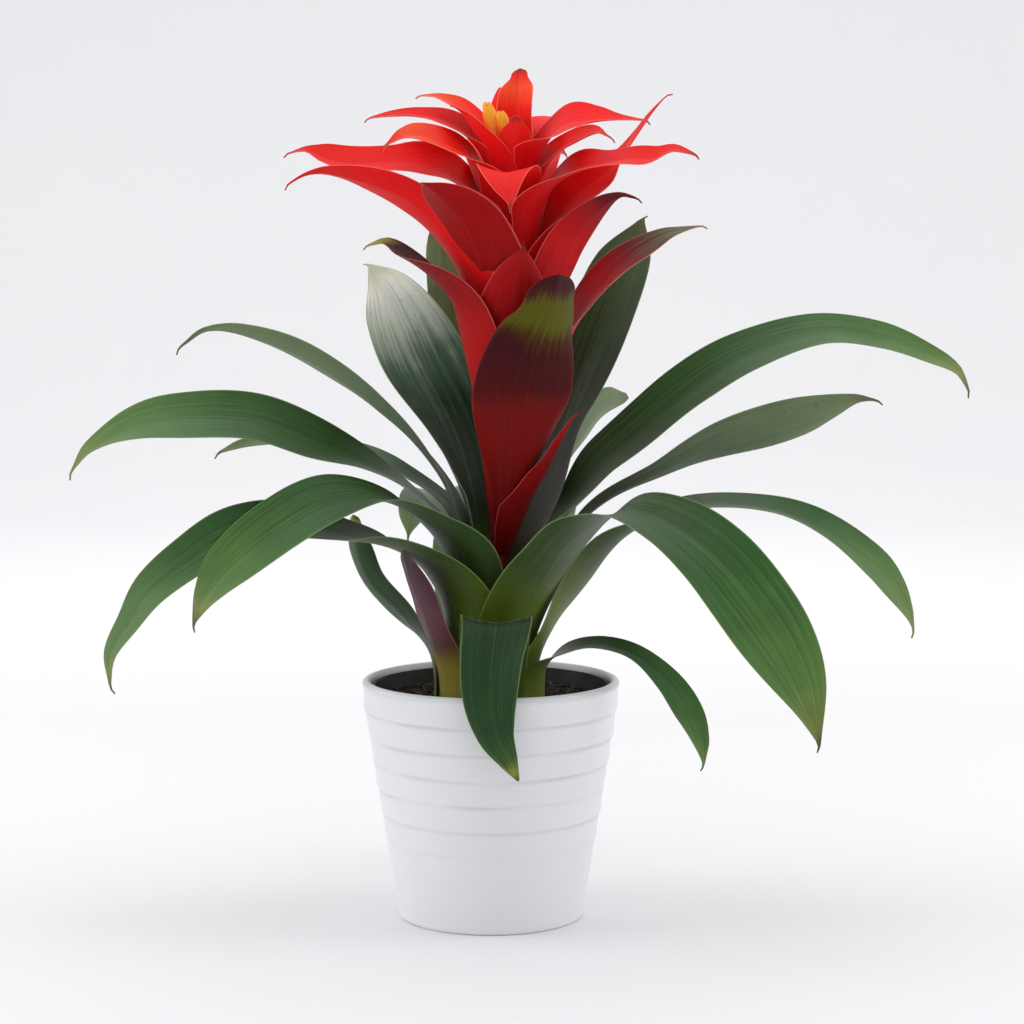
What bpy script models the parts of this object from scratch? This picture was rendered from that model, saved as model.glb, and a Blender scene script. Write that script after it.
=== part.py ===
"""A red-bracted bromeliad in a white cover pot, in metres with +Z up.

The origin is the middle of the pot's underside. The plant's front faces -Y.
Every leaf and bract is its own closed solid: a thin blade that follows a route
out from the stem. Near the stem its section is an arc about the stem's axis, so
that the sheaths sit round each other in layers, and further out it becomes a
shallow gutter.
"""

import math

import bmesh
import bpy
from mathutils import Vector

# Pot
POT_HEIGHT = 0.130
POT_RIM_RADIUS = 0.070
POT_BASE_RADIUS = 0.0505
POT_BAND_HEIGHT = 0.016
POT_BAND_RADIUS = 0.0685
POT_WALL = 0.0048
POT_FLOOR = 0.006
POT_FOOT_BEVEL = 0.0015
POT_SEGMENTS = 48
RIM_STEPS = 6

# Nursery pot inside it, and the soil
NURSERY_WALL = 0.0014
NURSERY_RIM_DROP = 0.003
SOIL_DROP = 0.012
SOIL_BUMP = 0.0018
SOIL_RIPPLE = 300.0
SOIL_RINGS = 4
WELL_DEPTH = 0.006
SEAT_GAP = 0.0003
FOOT_GAP = 0.0006

# Stem
STEM_RADIUS = 0.0055
STEM_TIP_RADIUS = 0.0038
STEM_HEIGHT = 0.272
STEM_LEAN = 0.0115
STEM_LEAN_HEIGHT = 0.180

# Leaves and bracts
LEAF_THICKNESS = 0.0008
BRACT_THICKNESS = 0.0007
SHEATH_GAP = 0.00055
LEAF_LAYERS = 20
LEAF_FOOT_WRAP = math.radians(40)
LEAF_WRAP = math.radians(50)
BRACT_FOOT_WRAP = math.radians(29)
BRACT_WRAP = math.radians(55)
WRAP_WIDENS = 0.010
WRAP_FULL = 0.024
GUTTER_ANGLE = math.radians(26)
GUTTER_STARTS = 0.035
GUTTER_FULL = 0.075
LEAF_STATIONS = 11
BRACT_STATIONS = 9
BLADE_COLUMNS = 5
GROWTH = 1.0

BRACT_FOOT_WIDTH = 0.012
CURVE_STEPS = 12
MIN_CURVE = 2.0
STEM_RINGS = 12
STEM_SIDES = 12
SMOOTH_ANGLE = math.radians(40)

# Flowers
FLOWER_RADIUS = 0.0028
FLOWER_BASE_RADIUS = 0.0016
FLOWER_SWELL_SPAN = 0.85
FLOWER_POINT = 0.7
FLOWER_POINT_POWER = 6
FLOWER_RINGS = 6
FLOWER_SIDES = 8

SOIL_LEVEL = POT_HEIGHT - SOIL_DROP
LEAF_PITCH = LEAF_THICKNESS + SHEATH_GAP

# One row for each leaf: name, layer from the stem outwards, heading in degrees from +X
# towards +Y, and the midrib's points. A point is (out, up, turn, width, roll): out from
# the leaf's own layer, up from the soil, the degrees that it has swung round the stem,
# the blade's width there, and the degrees that the blade is rolled about its midrib.
LEAVES = [
    ("leaf_right_upright", 0, 50, [
        (0.001, 0.050, 0, 0.020, 0), (0.010, 0.080, -1, 0.025, 0), (0.034, 0.119, -2, 0.031, -10),
        (0.062, 0.161, -2, 0.039, 2), (0.087, 0.203, -2, 0.042, 16), (0.107, 0.238, -2, 0.035, 15),
        (0.121, 0.260, -2, 0.006, 12)]),
    ("leaf_left_upright", 1, 145, [
        (0.002, 0.060, 0, 0.028, 0), (0.012, 0.105, -2, 0.037, -2), (0.030, 0.146, -5, 0.043, -10),
        (0.044, 0.178, -5, 0.046, -24), (0.054, 0.207, -5, 0.044, -36), (0.065, 0.225, -5, 0.034, -45),
        (0.078, 0.234, -5, 0.005, -45)]),
    ("leaf_back_short", 3, 58, [
        (0.002, 0.050, 0, 0.011, 0), (0.012, 0.076, 0, 0.012, 0), (0.046, 0.106, -1, 0.019, -45),
        (0.080, 0.136, -1, 0.024, -66), (0.106, 0.154, -1, 0.024, -70), (0.132, 0.158, -1, 0.008, -70)]),
    ("leaf_back_upright", 2, 115, [
        (0.001, 0.045, 0, 0.011, 0), (0.009, 0.088, 0, 0.012, 0), (0.024, 0.124, 0, 0.018, 0),
        (0.042, 0.158, 0, 0.027, 0), (0.060, 0.204, 0, 0.030, 0), (0.071, 0.242, 0, 0.024, 0),
        (0.076, 0.262, 0, 0.006, 0)]),
    ("leaf_left_slender", 4, 166, [
        (0.001, 0.050, 0, 0.014, 0), (0.010, 0.090, 0, 0.020, 0), (0.026, 0.124, 0, 0.024, 12),
        (0.050, 0.157, 0, 0.026, 30), (0.090, 0.184, 0, 0.026, 33), (0.128, 0.198, 0, 0.019, 24),
        (0.150, 0.200, 0, 0.009, 12), (0.164, 0.192, 0, 0.003, 10)]),
    ("leaf_left_back", 5, 146, [
        (0.002, 0.055, 0, 0.017, 0), (0.016, 0.097, 0, 0.014, 0), (0.042, 0.119, 1, 0.019, 0),
        (0.076, 0.132, 2, 0.025, -4), (0.112, 0.136, 3, 0.027, 0), (0.146, 0.134, 3, 0.020, 6),
        (0.168, 0.129, 3, 0.005, 6)]),
    ("leaf_right_arch", 6, -4, [
        (0.001, 0.050, 0, 0.026, 0), (0.012, 0.090, 5, 0.027, 0), (0.036, 0.119, 10, 0.032, 18),
        (0.066, 0.145, 10, 0.036, 34), (0.094, 0.168, 10, 0.038, 34), (0.124, 0.186, 10, 0.038, 31),
        (0.164, 0.198, 10, 0.035, 30), (0.200, 0.195, 10, 0.028, 34), (0.228, 0.186, 10, 0.016, 38),
        (0.242, 0.179, 10, 0.008, 45), (0.248, 0.170, 10, 0.003, 50)]),
    ("leaf_front_left", 10, 238, [
        (0.003, 0.052, 0, 0.025, 0), (0.011, 0.080, -6, 0.032, 0), (0.025, 0.098, -18, 0.034, 0),
        (0.044, 0.112, -28, 0.033, -10), (0.073, 0.112, -31, 0.038, -34), (0.104, 0.098, -31, 0.038, -36),
        (0.130, 0.080, -31, 0.031, -32), (0.142, 0.067, -31, 0.018, -28), (0.149, 0.055, -31, 0.005, -22)]),
    ("leaf_back_left_low", 8, 108, [
        (0.002, 0.040, 0, 0.026, 0), (0.018, 0.074, 0, 0.030, 0), (0.046, 0.096, 0, 0.034, 0),
        (0.080, 0.106, 0, 0.035, 0), (0.110, 0.100, 0, 0.031, 0), (0.134, 0.086, 0, 0.020, 0),
        (0.146, 0.076, 0, 0.004, 0)]),
    ("leaf_right_spatulate", 9, 10, [
        (0.002, 0.050, 0, 0.020, 0), (0.018, 0.089, -5, 0.018, -12), (0.046, 0.111, -7, 0.014, -34),
        (0.072, 0.124, -7, 0.018, -36), (0.090, 0.133, -7, 0.024, -40), (0.108, 0.140, -7, 0.028, -50),
        (0.132, 0.147, -7, 0.029, -62), (0.152, 0.153, -7, 0.026, -62), (0.168, 0.159, -7, 0.017, -56),
        (0.180, 0.163, -7, 0.008, -46), (0.188, 0.163, -7, 0.003, -34)]),
    ("leaf_left_arch", 7, 190, [
        (0.001, 0.050, 0, 0.024, 0), (0.013, 0.090, -3, 0.025, 0), (0.032, 0.115, -5, 0.029, 0),
        (0.052, 0.129, -6, 0.034, -16), (0.080, 0.140, -6, 0.039, -34), (0.114, 0.152, -6, 0.040, -37),
        (0.154, 0.153, -6, 0.038, -36), (0.176, 0.149, -6, 0.031, -33), (0.198, 0.138, -6, 0.014, -28),
        (0.207, 0.128, -6, 0.003, -30)]),
    ("leaf_back_right_low", 11, 76, [
        (0.002, 0.030, 0, 0.028, 0), (0.018, 0.062, 0, 0.032, 0), (0.048, 0.086, 0, 0.036, 0),
        (0.086, 0.098, 0, 0.037, 0), (0.118, 0.094, 0, 0.032, 0), (0.140, 0.084, 0, 0.020, 0),
        (0.152, 0.074, 0, 0.005, 0)]),
    ("leaf_front_right_broad", 12, -57, [
        (0.000, 0.030, 0, 0.032, 0), (0.010, 0.058, 6, 0.036, 2), (0.022, 0.080, 13, 0.038, 0),
        (0.041, 0.097, 18, 0.040, -4), (0.067, 0.108, 19, 0.041, 12), (0.096, 0.101, 19, 0.043, 25),
        (0.122, 0.086, 19, 0.044, 35), (0.142, 0.068, 19, 0.043, 41), (0.161, 0.047, 19, 0.038, 50),
        (0.174, 0.027, 19, 0.027, 48), (0.184, 0.002, 19, 0.004, 34)]),
    ("leaf_left_drooping", 13, 228, [
        (0.001, 0.030, 0, 0.032, 0), (0.005, 0.053, -6, 0.034, 0), (0.016, 0.073, -16, 0.032, 4),
        (0.032, 0.085, -26, 0.032, 4), (0.054, 0.091, -34, 0.034, -14), (0.085, 0.098, -36, 0.036, -30),
        (0.114, 0.093, -36, 0.037, -38), (0.138, 0.079, -36, 0.035, -35), (0.158, 0.064, -36, 0.030, -32),
        (0.170, 0.048, -36, 0.021, -30), (0.180, 0.032, -36, 0.012, -30), (0.181, 0.017, -36, 0.003, -28)]),
    ("leaf_right_low_arch", 14, -12, [
        (0.000, 0.020, 0, 0.024, 0), (0.006, 0.038, 4, 0.024, 0), (0.018, 0.060, 12, 0.024, -25),
        (0.038, 0.081, 18, 0.026, -30), (0.064, 0.097, 22, 0.026, 4), (0.093, 0.105, 22, 0.026, 12),
        (0.131, 0.102, 22, 0.028, 17), (0.160, 0.091, 22, 0.028, 32), (0.190, 0.070, 22, 0.025, 50),
        (0.203, 0.056, 22, 0.018, 58), (0.211, 0.043, 22, 0.009, 56), (0.214, 0.035, 22, 0.003, 50)]),
    ("leaf_back_low", 15, 92, [
        (0.001, 0.020, 0, 0.028, 0), (0.018, 0.054, 0, 0.032, 0), (0.050, 0.080, 3, 0.036, 0),
        (0.090, 0.080, 5, 0.037, 0), (0.124, 0.058, 6, 0.032, 0), (0.144, 0.026, 6, 0.020, 0),
        (0.152, 0.000, 6, 0.004, 0)]),
    ("leaf_purple_stub", 16, 208, [
        (0.001, 0.015, 0, 0.026, 0), (0.006, 0.030, 0, 0.026, 0), (0.013, 0.048, 0, 0.024, 0),
        (0.020, 0.062, 0, 0.020, 0), (0.025, 0.072, 0, 0.006, 0)]),
    ("leaf_front_right_small", 17, -34, [
        (0.000, 0.012, 0, 0.020, 0), (0.004, 0.022, 4, 0.020, 6), (0.015, 0.031, 8, 0.020, 14),
        (0.034, 0.036, 9, 0.020, 14), (0.055, 0.031, 9, 0.020, 26), (0.074, 0.017, 9, 0.019, 42),
        (0.085, 0.001, 9, 0.016, 50), (0.091, -0.014, 9, 0.009, 42), (0.092, -0.025, 9, 0.003, 34)]),
    ("leaf_left_small", 18, 170, [
        (0.000, 0.012, 0, 0.018, 0), (0.004, 0.026, 0, 0.018, 10), (0.019, 0.046, 0, 0.019, 44),
        (0.036, 0.064, 0, 0.020, 56), (0.043, 0.081, 0, 0.019, 54), (0.045, 0.095, 0, 0.010, 50)]),
]

# The leaf that folds forward over the rim. The points of its rise are (out, up, turn, width)
# as above, and those of its fall are from the rim's outer edge and the rim's top.
RIM_LEAF_LAYER = 19
RIM_LEAF_HEADING = -88
RIM_LEAF_CLEARANCE = 0.0035
RIM_LEAF_RISE = [(0.000, 0.010, 0, 0.036), (0.004, 0.030, 0, 0.038), (0.010, 0.043, 0, 0.038)]
RIM_LEAF_FALL = [
    (-0.014, 0.038, 0, 0.038), (-0.003, 0.022, 1, 0.037), (0.005, 0.000, 3, 0.034),
    (0.009, -0.016, 6, 0.027), (0.011, -0.028, 9, 0.017), (0.012, -0.039, 11, 0.004)]

# One row for each bract: name, height on the stem above the soil, heading, and points as
# for a leaf, but with out measured from the stem's surface.
BRACTS = [
    ("bract_low_right", 0.080, -4, [
        (0.008, 0.108, 0, 0.014, 0), (0.018, 0.133, 0, 0.016, -10), (0.027, 0.152, 0, 0.004, -15)]),
    ("bract_flame", 0.086, -67, [
        (0.006, 0.112, 0, 0.024, 4), (0.014, 0.140, 0, 0.042, 2), (0.021, 0.168, 0, 0.052, 0),
        (0.025, 0.192, 0, 0.052, 0), (0.032, 0.212, 0, 0.042, 6), (0.040, 0.227, 0, 0.022, 10),
        (0.045, 0.234, 0, 0.005, 10)]),
    ("bract_low_left", 0.090, 165, [
        (0.004, 0.110, 0, 0.020, 0), (0.012, 0.152, 0, 0.026, 6), (0.023, 0.194, 0, 0.027, 24),
        (0.034, 0.224, 0, 0.025, 22), (0.046, 0.238, 0, 0.021, -4), (0.058, 0.244, 0, 0.015, -20),
        (0.067, 0.248, 0, 0.009, -24), (0.074, 0.247, 0, 0.003, -34)]),
    ("bract_low_right_long", 0.096, 20, [
        (0.004, 0.118, 0, 0.020, 0), (0.012, 0.150, 0, 0.024, -6), (0.026, 0.192, 0, 0.026, -14),
        (0.038, 0.215, 0, 0.026, 5), (0.054, 0.232, 0, 0.026, 18), (0.070, 0.244, 0, 0.021, 26),
        (0.084, 0.252, 0, 0.013, 28), (0.095, 0.255, 0, 0.007, 24), (0.104, 0.257, 0, 0.002, 18)]),
    ("bract_low_back", 0.100, 100, [
        (0.005, 0.130, 0, 0.024, 0), (0.016, 0.176, 0, 0.030, 0), (0.034, 0.212, 0, 0.028, 0),
        (0.054, 0.230, 0, 0.018, 0), (0.074, 0.236, 0, 0.003, 0)]),
    ("bract_mid_front", 0.110, -84, [
        (0.005, 0.140, 0, 0.030, 0), (0.011, 0.178, 0, 0.038, 0), (0.019, 0.212, 0, 0.034, 0),
        (0.025, 0.234, 0, 0.018, 0), (0.029, 0.247, 0, 0.003, 0)]),
    ("bract_mid_right", 0.120, -20, [
        (0.005, 0.152, 0, 0.026, 0), (0.014, 0.206, 0, 0.033, -8), (0.025, 0.238, 0, 0.034, -18),
        (0.034, 0.255, 0, 0.028, -24), (0.046, 0.267, 0, 0.018, -20), (0.056, 0.272, 0, 0.007, -20),
        (0.063, 0.271, 0, 0.003, -26)]),
    ("bract_long_left_low", 0.126, 194, [
        (0.005, 0.156, 0, 0.026, 0), (0.013, 0.200, 0, 0.031, 4), (0.022, 0.234, 0, 0.033, 12),
        (0.037, 0.258, 0, 0.029, 24), (0.055, 0.272, 0, 0.026, 28), (0.076, 0.280, 0, 0.021, 27),
        (0.095, 0.284, 0, 0.013, 20), (0.106, 0.283, 0, 0.005, 22), (0.114, 0.279, 0, 0.002, 26)]),
    ("bract_mid_back_right", 0.132, 60, [
        (0.005, 0.164, 0, 0.024, 0), (0.014, 0.206, 0, 0.030, 0), (0.031, 0.244, 0, 0.029, 0),
        (0.054, 0.262, 0, 0.019, 0), (0.078, 0.266, 0, 0.003, 0)]),
    ("bract_mid_back_left", 0.138, 128, [
        (0.005, 0.170, 0, 0.024, 0), (0.013, 0.210, 0, 0.030, 0), (0.030, 0.248, 0, 0.029, 0),
        (0.052, 0.266, 0, 0.019, 0), (0.074, 0.270, 0, 0.003, 0)]),
    ("bract_front_left_cup", 0.148, 226, [
        (0.004, 0.174, 0, 0.028, 0), (0.010, 0.214, 0, 0.036, 0), (0.018, 0.243, 0, 0.042, 0),
        (0.030, 0.263, 0, 0.038, 3), (0.043, 0.275, 0, 0.026, 5), (0.053, 0.281, 0, 0.006, 10)]),
    ("bract_right_swept", 0.154, 2, [
        (0.004, 0.180, 0, 0.024, 0), (0.009, 0.228, 0, 0.028, 0), (0.017, 0.255, 0, 0.031, 14),
        (0.030, 0.273, 0, 0.032, 34), (0.044, 0.284, 0, 0.028, 36), (0.053, 0.293, 0, 0.022, 12),
        (0.062, 0.306, 0, 0.016, -4), (0.070, 0.317, 0, 0.008, -5), (0.076, 0.324, 0, 0.002, 0)]),
    ("bract_high_back", 0.160, 88, [
        (0.004, 0.190, 0, 0.022, 0), (0.011, 0.232, 0, 0.028, 0), (0.026, 0.266, 0, 0.028, 0),
        (0.048, 0.282, 0, 0.018, 0), (0.070, 0.282, 0, 0.003, 0)]),
    ("bract_long_left", 0.170, 184, [
        (0.004, 0.196, 0, 0.024, 0), (0.010, 0.254, 3, 0.030, 0), (0.023, 0.279, 4, 0.032, -20),
        (0.042, 0.289, 4, 0.031, -32), (0.059, 0.290, 4, 0.028, -29), (0.081, 0.289, 4, 0.028, -34),
        (0.097, 0.293, 4, 0.018, -38), (0.105, 0.296, 4, 0.007, -30), (0.112, 0.295, 4, 0.002, -22)]),
    ("bract_long_right", 0.178, -26, [
        (0.004, 0.204, 0, 0.024, 0), (0.009, 0.254, 0, 0.029, 0), (0.018, 0.276, 0, 0.032, 14),
        (0.033, 0.286, 0, 0.030, 28), (0.048, 0.289, 0, 0.024, 24), (0.064, 0.291, 0, 0.022, 26),
        (0.077, 0.291, 0, 0.018, 32), (0.088, 0.295, 0, 0.009, 31), (0.098, 0.293, 0, 0.003, 32)]),
    ("bract_high_back_right", 0.184, 64, [
        (0.004, 0.210, 0, 0.020, 0), (0.010, 0.254, 0, 0.026, 0), (0.022, 0.284, 0, 0.026, 0),
        (0.042, 0.297, 0, 0.018, 0), (0.060, 0.298, 0, 0.003, 0)]),
    ("bract_high_back_left", 0.190, 120, [
        (0.004, 0.216, 0, 0.020, 0), (0.009, 0.260, 0, 0.026, 0), (0.021, 0.290, 0, 0.026, 0),
        (0.043, 0.303, 0, 0.018, 0), (0.066, 0.303, 0, 0.003, 0)]),
    ("bract_front_folded", 0.198, -91, [
        (0.003, 0.226, 0, 0.020, 0), (0.008, 0.262, 0, 0.025, 0), (0.018, 0.283, -1, 0.030, 0),
        (0.030, 0.288, -1, 0.030, 0), (0.040, 0.281, 2, 0.020, 0), (0.045, 0.268, 5, 0.003, 0)]),
    ("bract_top_left_low", 0.206, 205, [
        (0.004, 0.232, 0, 0.022, 0), (0.009, 0.272, 0, 0.026, 0), (0.019, 0.291, 0, 0.028, -22),
        (0.033, 0.299, 0, 0.027, -32), (0.048, 0.303, 0, 0.022, -34), (0.058, 0.303, 0, 0.011, -30),
        (0.066, 0.299, 0, 0.003, -24)]),
    ("bract_top_right_low", 0.212, 10, [
        (0.004, 0.238, 0, 0.020, 0), (0.008, 0.274, 0, 0.025, 0), (0.017, 0.294, 0, 0.026, 10),
        (0.029, 0.302, 0, 0.023, 16), (0.041, 0.307, 0, 0.014, 20), (0.047, 0.305, 0, 0.003, 24)]),
    ("bract_top_left", 0.220, 170, [
        (0.004, 0.246, 0, 0.020, 0), (0.008, 0.286, 0, 0.024, 0), (0.018, 0.304, 0, 0.025, -10),
        (0.032, 0.313, 0, 0.024, -20), (0.047, 0.316, 0, 0.016, -22), (0.061, 0.316, 0, 0.009, -24),
        (0.071, 0.315, 0, 0.003, -26)]),
    ("bract_top_right", 0.226, -24, [
        (0.004, 0.250, 0, 0.022, 0), (0.008, 0.284, 0, 0.029, 0), (0.015, 0.301, 0, 0.032, 20),
        (0.027, 0.310, 0, 0.031, 34), (0.042, 0.312, 0, 0.021, 30), (0.055, 0.312, 0, 0.009, 26),
        (0.069, 0.311, 0, 0.002, 24)]),
    ("bract_top_back_right", 0.232, 56, [
        (0.004, 0.256, 0, 0.018, 0), (0.008, 0.288, 0, 0.023, 0), (0.020, 0.308, 0, 0.024, 0),
        (0.038, 0.316, 0, 0.016, 0), (0.056, 0.314, 0, 0.003, 0)]),
    ("bract_crown_left", 0.238, 158, [
        (0.004, 0.262, 0, 0.018, 0), (0.007, 0.294, 0, 0.019, 0), (0.014, 0.310, 0, 0.022, 0),
        (0.027, 0.321, 0, 0.019, -10), (0.038, 0.326, 0, 0.009, -18), (0.046, 0.327, 0, 0.003, -18)]),
    ("bract_crown_back", 0.244, 94, [
        (0.004, 0.268, 0, 0.018, 0), (0.007, 0.296, 0, 0.022, 0), (0.016, 0.318, 0, 0.020, 0),
        (0.028, 0.330, 0, 0.012, 0), (0.038, 0.332, 0, 0.003, 0)]),
    ("bract_cup_front_left", 0.250, 224, [
        (0.004, 0.272, 0, 0.014, 0), (0.008, 0.296, 0, 0.015, 0), (0.013, 0.312, 0, 0.013, 0),
        (0.017, 0.321, 0, 0.004, 0)]),
    ("bract_cup_front", 0.254, -66, [
        (0.004, 0.276, 0, 0.014, 0), (0.008, 0.296, 0, 0.016, 0), (0.012, 0.307, 0, 0.013, 0),
        (0.015, 0.314, 0, 0.004, 0)]),
    ("bract_crown_upright", 0.258, 60, [
        (0.003, 0.278, 2, 0.018, 0), (0.005, 0.298, 8, 0.024, 0), (0.007, 0.316, 14, 0.025, 0),
        (0.009, 0.329, 18, 0.017, 0), (0.010, 0.338, 18, 0.004, 0)]),
]

# One row for each flower: name, foot and tip as (x and y from the stem's axis, height above the soil).
FLOWERS = [
    ("flower_left", (-0.0030, -0.0030, 0.276), (-0.0105, -0.007, 0.318)),
    ("flower_right", (0.0025, -0.0030, 0.276), (-0.0035, -0.008, 0.316)),
    ("flower_bud", (0.0, 0.0032, 0.276), (-0.0105, 0.003, 0.322)),
]

# One row for each finish: colour and roughness.
FINISHES = {
    "white_glaze": ((0.80, 0.80, 0.81), 0.35),
    "dark_plastic": ((0.045, 0.047, 0.05), 0.55),
    "bark_soil": ((0.035, 0.022, 0.015), 0.95),
    "stem_green": ((0.16, 0.28, 0.07), 0.5),
    "leaf_green": ((0.035, 0.13, 0.035), 0.35),
    "bract_red": ((0.62, 0.015, 0.015), 0.4),
    "flower_yellow": ((0.95, 0.55, 0.03), 0.45),
}


def material(name):
    """A Principled material with the colour and roughness of one finish."""
    colour, roughness = FINISHES[name]
    made = bpy.data.materials.new(name)
    made.use_nodes = True
    shader = made.node_tree.nodes["Principled BSDF"]
    shader.inputs["Base Color"].default_value = (*colour, 1.0)
    shader.inputs["Roughness"].default_value = roughness
    return made


def add_object(name, mesh, finish):
    """Links a finished bmesh to the scene as a named object."""
    bmesh.ops.recalc_face_normals(mesh, faces=mesh.faces)
    data = bpy.data.meshes.new(name)
    mesh.to_mesh(data)
    mesh.free()
    data.shade_smooth()
    data.set_sharp_from_angle(angle=SMOOTH_ANGLE)
    data.materials.append(finish)
    made = bpy.data.objects.new(name, data)
    bpy.context.scene.collection.objects.link(made)
    return made


def smoothstep(value, start, end):
    """0 up to start, 1 from end, and a smooth ramp between."""
    share = min(max((value - start) / (end - start), 0.0), 1.0)
    return share * share * (3 - 2 * share)


def stem_axis(height):
    """The x of the stem's axis at a height above the soil."""
    return STEM_LEAN * smoothstep(height, 0.0, STEM_LEAN_HEIGHT * GROWTH)


def stem_radius(height):
    """The stem's radius at a height above the soil."""
    share = min(max(height / (STEM_HEIGHT * GROWTH), 0.0), 1.0)
    return STEM_RADIUS + (STEM_TIP_RADIUS - STEM_RADIUS) * share


def hermite(rows, knots, at):
    """One row of the smooth curve between the middle two of four rows."""
    span = knots[2] - knots[1]
    share = (at - knots[1]) / span
    made = []
    for before, first, second, after in zip(*rows):
        leave = span * (second - before) / (knots[2] - knots[0])
        arrive = span * (after - first) / (knots[3] - knots[1])
        bend = 2 * (first - second) + leave + arrive
        lift = 3 * (second - first) - 2 * leave - arrive
        made.append(first + share * (leave + share * (lift + share * bend)))
    return made


def curve_through(points, count):
    """Reads count rows, evenly apart, from a smooth curve through the points."""
    before_first = [2 * a - b for a, b in zip(points[0], points[1])]
    after_last = [2 * a - b for a, b in zip(points[-1], points[-2])]
    padded = [before_first, *points, after_last]
    knots = [0.0]
    for before, after in zip(padded, padded[1:]):
        knots.append(knots[-1] + math.sqrt(math.dist(before[:2], after[:2])))
    fine = []
    for i in range(1, len(padded) - 2):
        for step in range(CURVE_STEPS):
            at = knots[i] + (knots[i + 1] - knots[i]) * step / CURVE_STEPS
            fine.append(hermite(padded[i - 1:i + 3], knots[i - 1:i + 3], at))
    fine.append(list(points[-1]))
    lengths = [0.0]
    for before, after in zip(fine, fine[1:]):
        lengths.append(lengths[-1] + math.dist(before[:2], after[:2]))
    rows = []
    j = 0
    for i in range(count):
        goal = lengths[-1] * i / (count - 1)
        while j < len(fine) - 2 and lengths[j + 1] < goal:
            j += 1
        share = (goal - lengths[j]) / (lengths[j + 1] - lengths[j])
        rows.append([a + (b - a) * share for a, b in zip(fine[j], fine[j + 1])])
    return rows


def blade_sections(rows, thickness, wraps, lean_kept):
    """The upper and lower edge points of each section along a blade.

    A row is (distance from the axis, height above the soil, bearing, width, roll). Near the
    stem a blade shares the stem's lean, and lean_kept is the share of it that the rest keeps.
    wraps are the half angles that a section may reach at the foot and further out.
    """
    centres = []
    for reach, up, bearing, _, _ in rows:
        free = smoothstep(reach, GUTTER_STARTS, GUTTER_FULL)
        lean = stem_axis(up) * (1 + (lean_kept - 1) * free)
        angle = math.radians(bearing)
        centres.append(Vector((
            lean + reach * math.cos(angle), reach * math.sin(angle), SOIL_LEVEL + up)))
    sections = []
    last = len(rows) - 1
    for i, (reach, _, bearing, width, roll) in enumerate(rows):
        along = (centres[min(i + 1, last)] - centres[max(i - 1, 0)]).normalized()
        angle = math.radians(bearing)
        outward = Vector((math.cos(angle), math.sin(angle), 0))
        across = Vector((-math.sin(angle), math.cos(angle), 0))
        across = (across - along * across.dot(along)).normalized()
        face = along.cross(across)
        wrap_curve = max(-face.dot(outward), 0.0) / reach
        gutter_curve = 2 * GUTTER_ANGLE / width
        free = smoothstep(reach, GUTTER_STARTS, GUTTER_FULL)
        curve = max(wrap_curve + (gutter_curve - wrap_curve) * free, MIN_CURVE)
        turn = math.radians(roll)
        rolled = across * math.cos(turn) + face * math.sin(turn)
        face = face * math.cos(turn) - across * math.sin(turn)
        wrap = wraps[0] + (wraps[1] - wraps[0]) * smoothstep(reach, WRAP_WIDENS, WRAP_FULL)
        half_angle = min(width / 2 * curve, wrap)
        upper = []
        lower = []
        for column in range(BLADE_COLUMNS + 1):
            theta = half_angle * (2 * column / BLADE_COLUMNS - 1)
            middle = centres[i] + rolled * (math.sin(theta) / curve)
            middle += face * ((1 - math.cos(theta)) / curve)
            normal = face * math.cos(theta) - rolled * math.sin(theta)
            upper.append(middle + normal * thickness / 2)
            lower.append(middle - normal * thickness / 2)
        sections.append((upper, lower))
    return sections


def add_blade(name, rows, thickness, wraps, lean_kept, finish):
    """A closed thin blade along the rows."""
    mesh = bmesh.new()
    rings = []
    for upper, lower in blade_sections(rows, thickness, wraps, lean_kept):
        outline = upper + lower[::-1]
        rings.append([mesh.verts.new(point) for point in outline])
    around = len(rings[0])
    for near, far in zip(rings, rings[1:]):
        for i in range(around):
            j = (i + 1) % around
            corners = [near[i], near[j], far[j], far[i]]
            if i > BLADE_COLUMNS:
                # Both sides are split along the same diagonal, so a twisted blade keeps its thickness.
                corners = corners[1:] + corners[:1]
            mesh.faces.new(corners)
    for ring in (rings[0], rings[-1]):
        for i in range(BLADE_COLUMNS):
            mesh.faces.new((ring[i], ring[i + 1], ring[-2 - i], ring[-1 - i]))
    return add_object(name, mesh, finish)


def layer_radius(layer):
    """The middle radius of a leaf's sheath."""
    return STEM_RADIUS + SHEATH_GAP + LEAF_THICKNESS / 2 + layer * LEAF_PITCH


def add_leaves(finish):
    """The green leaves, whose feet stand in the well in the soil."""
    for name, layer, heading, points in LEAVES:
        foot = layer_radius(layer)
        route = [(foot, FOOT_GAP - WELL_DEPTH, heading, points[0][3], 0.0)]
        for out, up, turn, width, roll in points:
            route.append((foot + out * GROWTH, up * GROWTH, heading + turn, width * GROWTH, roll))
        rows = curve_through(route, LEAF_STATIONS)
        add_blade(name, rows, LEAF_THICKNESS, (LEAF_FOOT_WRAP, LEAF_WRAP), 0.0, finish)


def add_rim_leaf(finish):
    """The leaf that comes up inside the rim and folds down outside it."""
    foot = layer_radius(RIM_LEAF_LAYER)
    heading = RIM_LEAF_HEADING
    route = [(foot, FOOT_GAP - WELL_DEPTH, heading, RIM_LEAF_RISE[0][3], 0.0)]
    for out, up, turn, width in RIM_LEAF_RISE:
        route.append((foot + out, up, heading + turn, width, 0.0))
    for out, up, turn, width in RIM_LEAF_FALL:
        reach = POT_RIM_RADIUS + RIM_LEAF_CLEARANCE + out
        route.append((reach, SOIL_DROP + up, heading + turn, width, 0.0))
    rows = curve_through(route, LEAF_STATIONS)
    add_blade("leaf_front_over_rim", rows, LEAF_THICKNESS, (LEAF_FOOT_WRAP, LEAF_WRAP), 0.0, finish)


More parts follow.
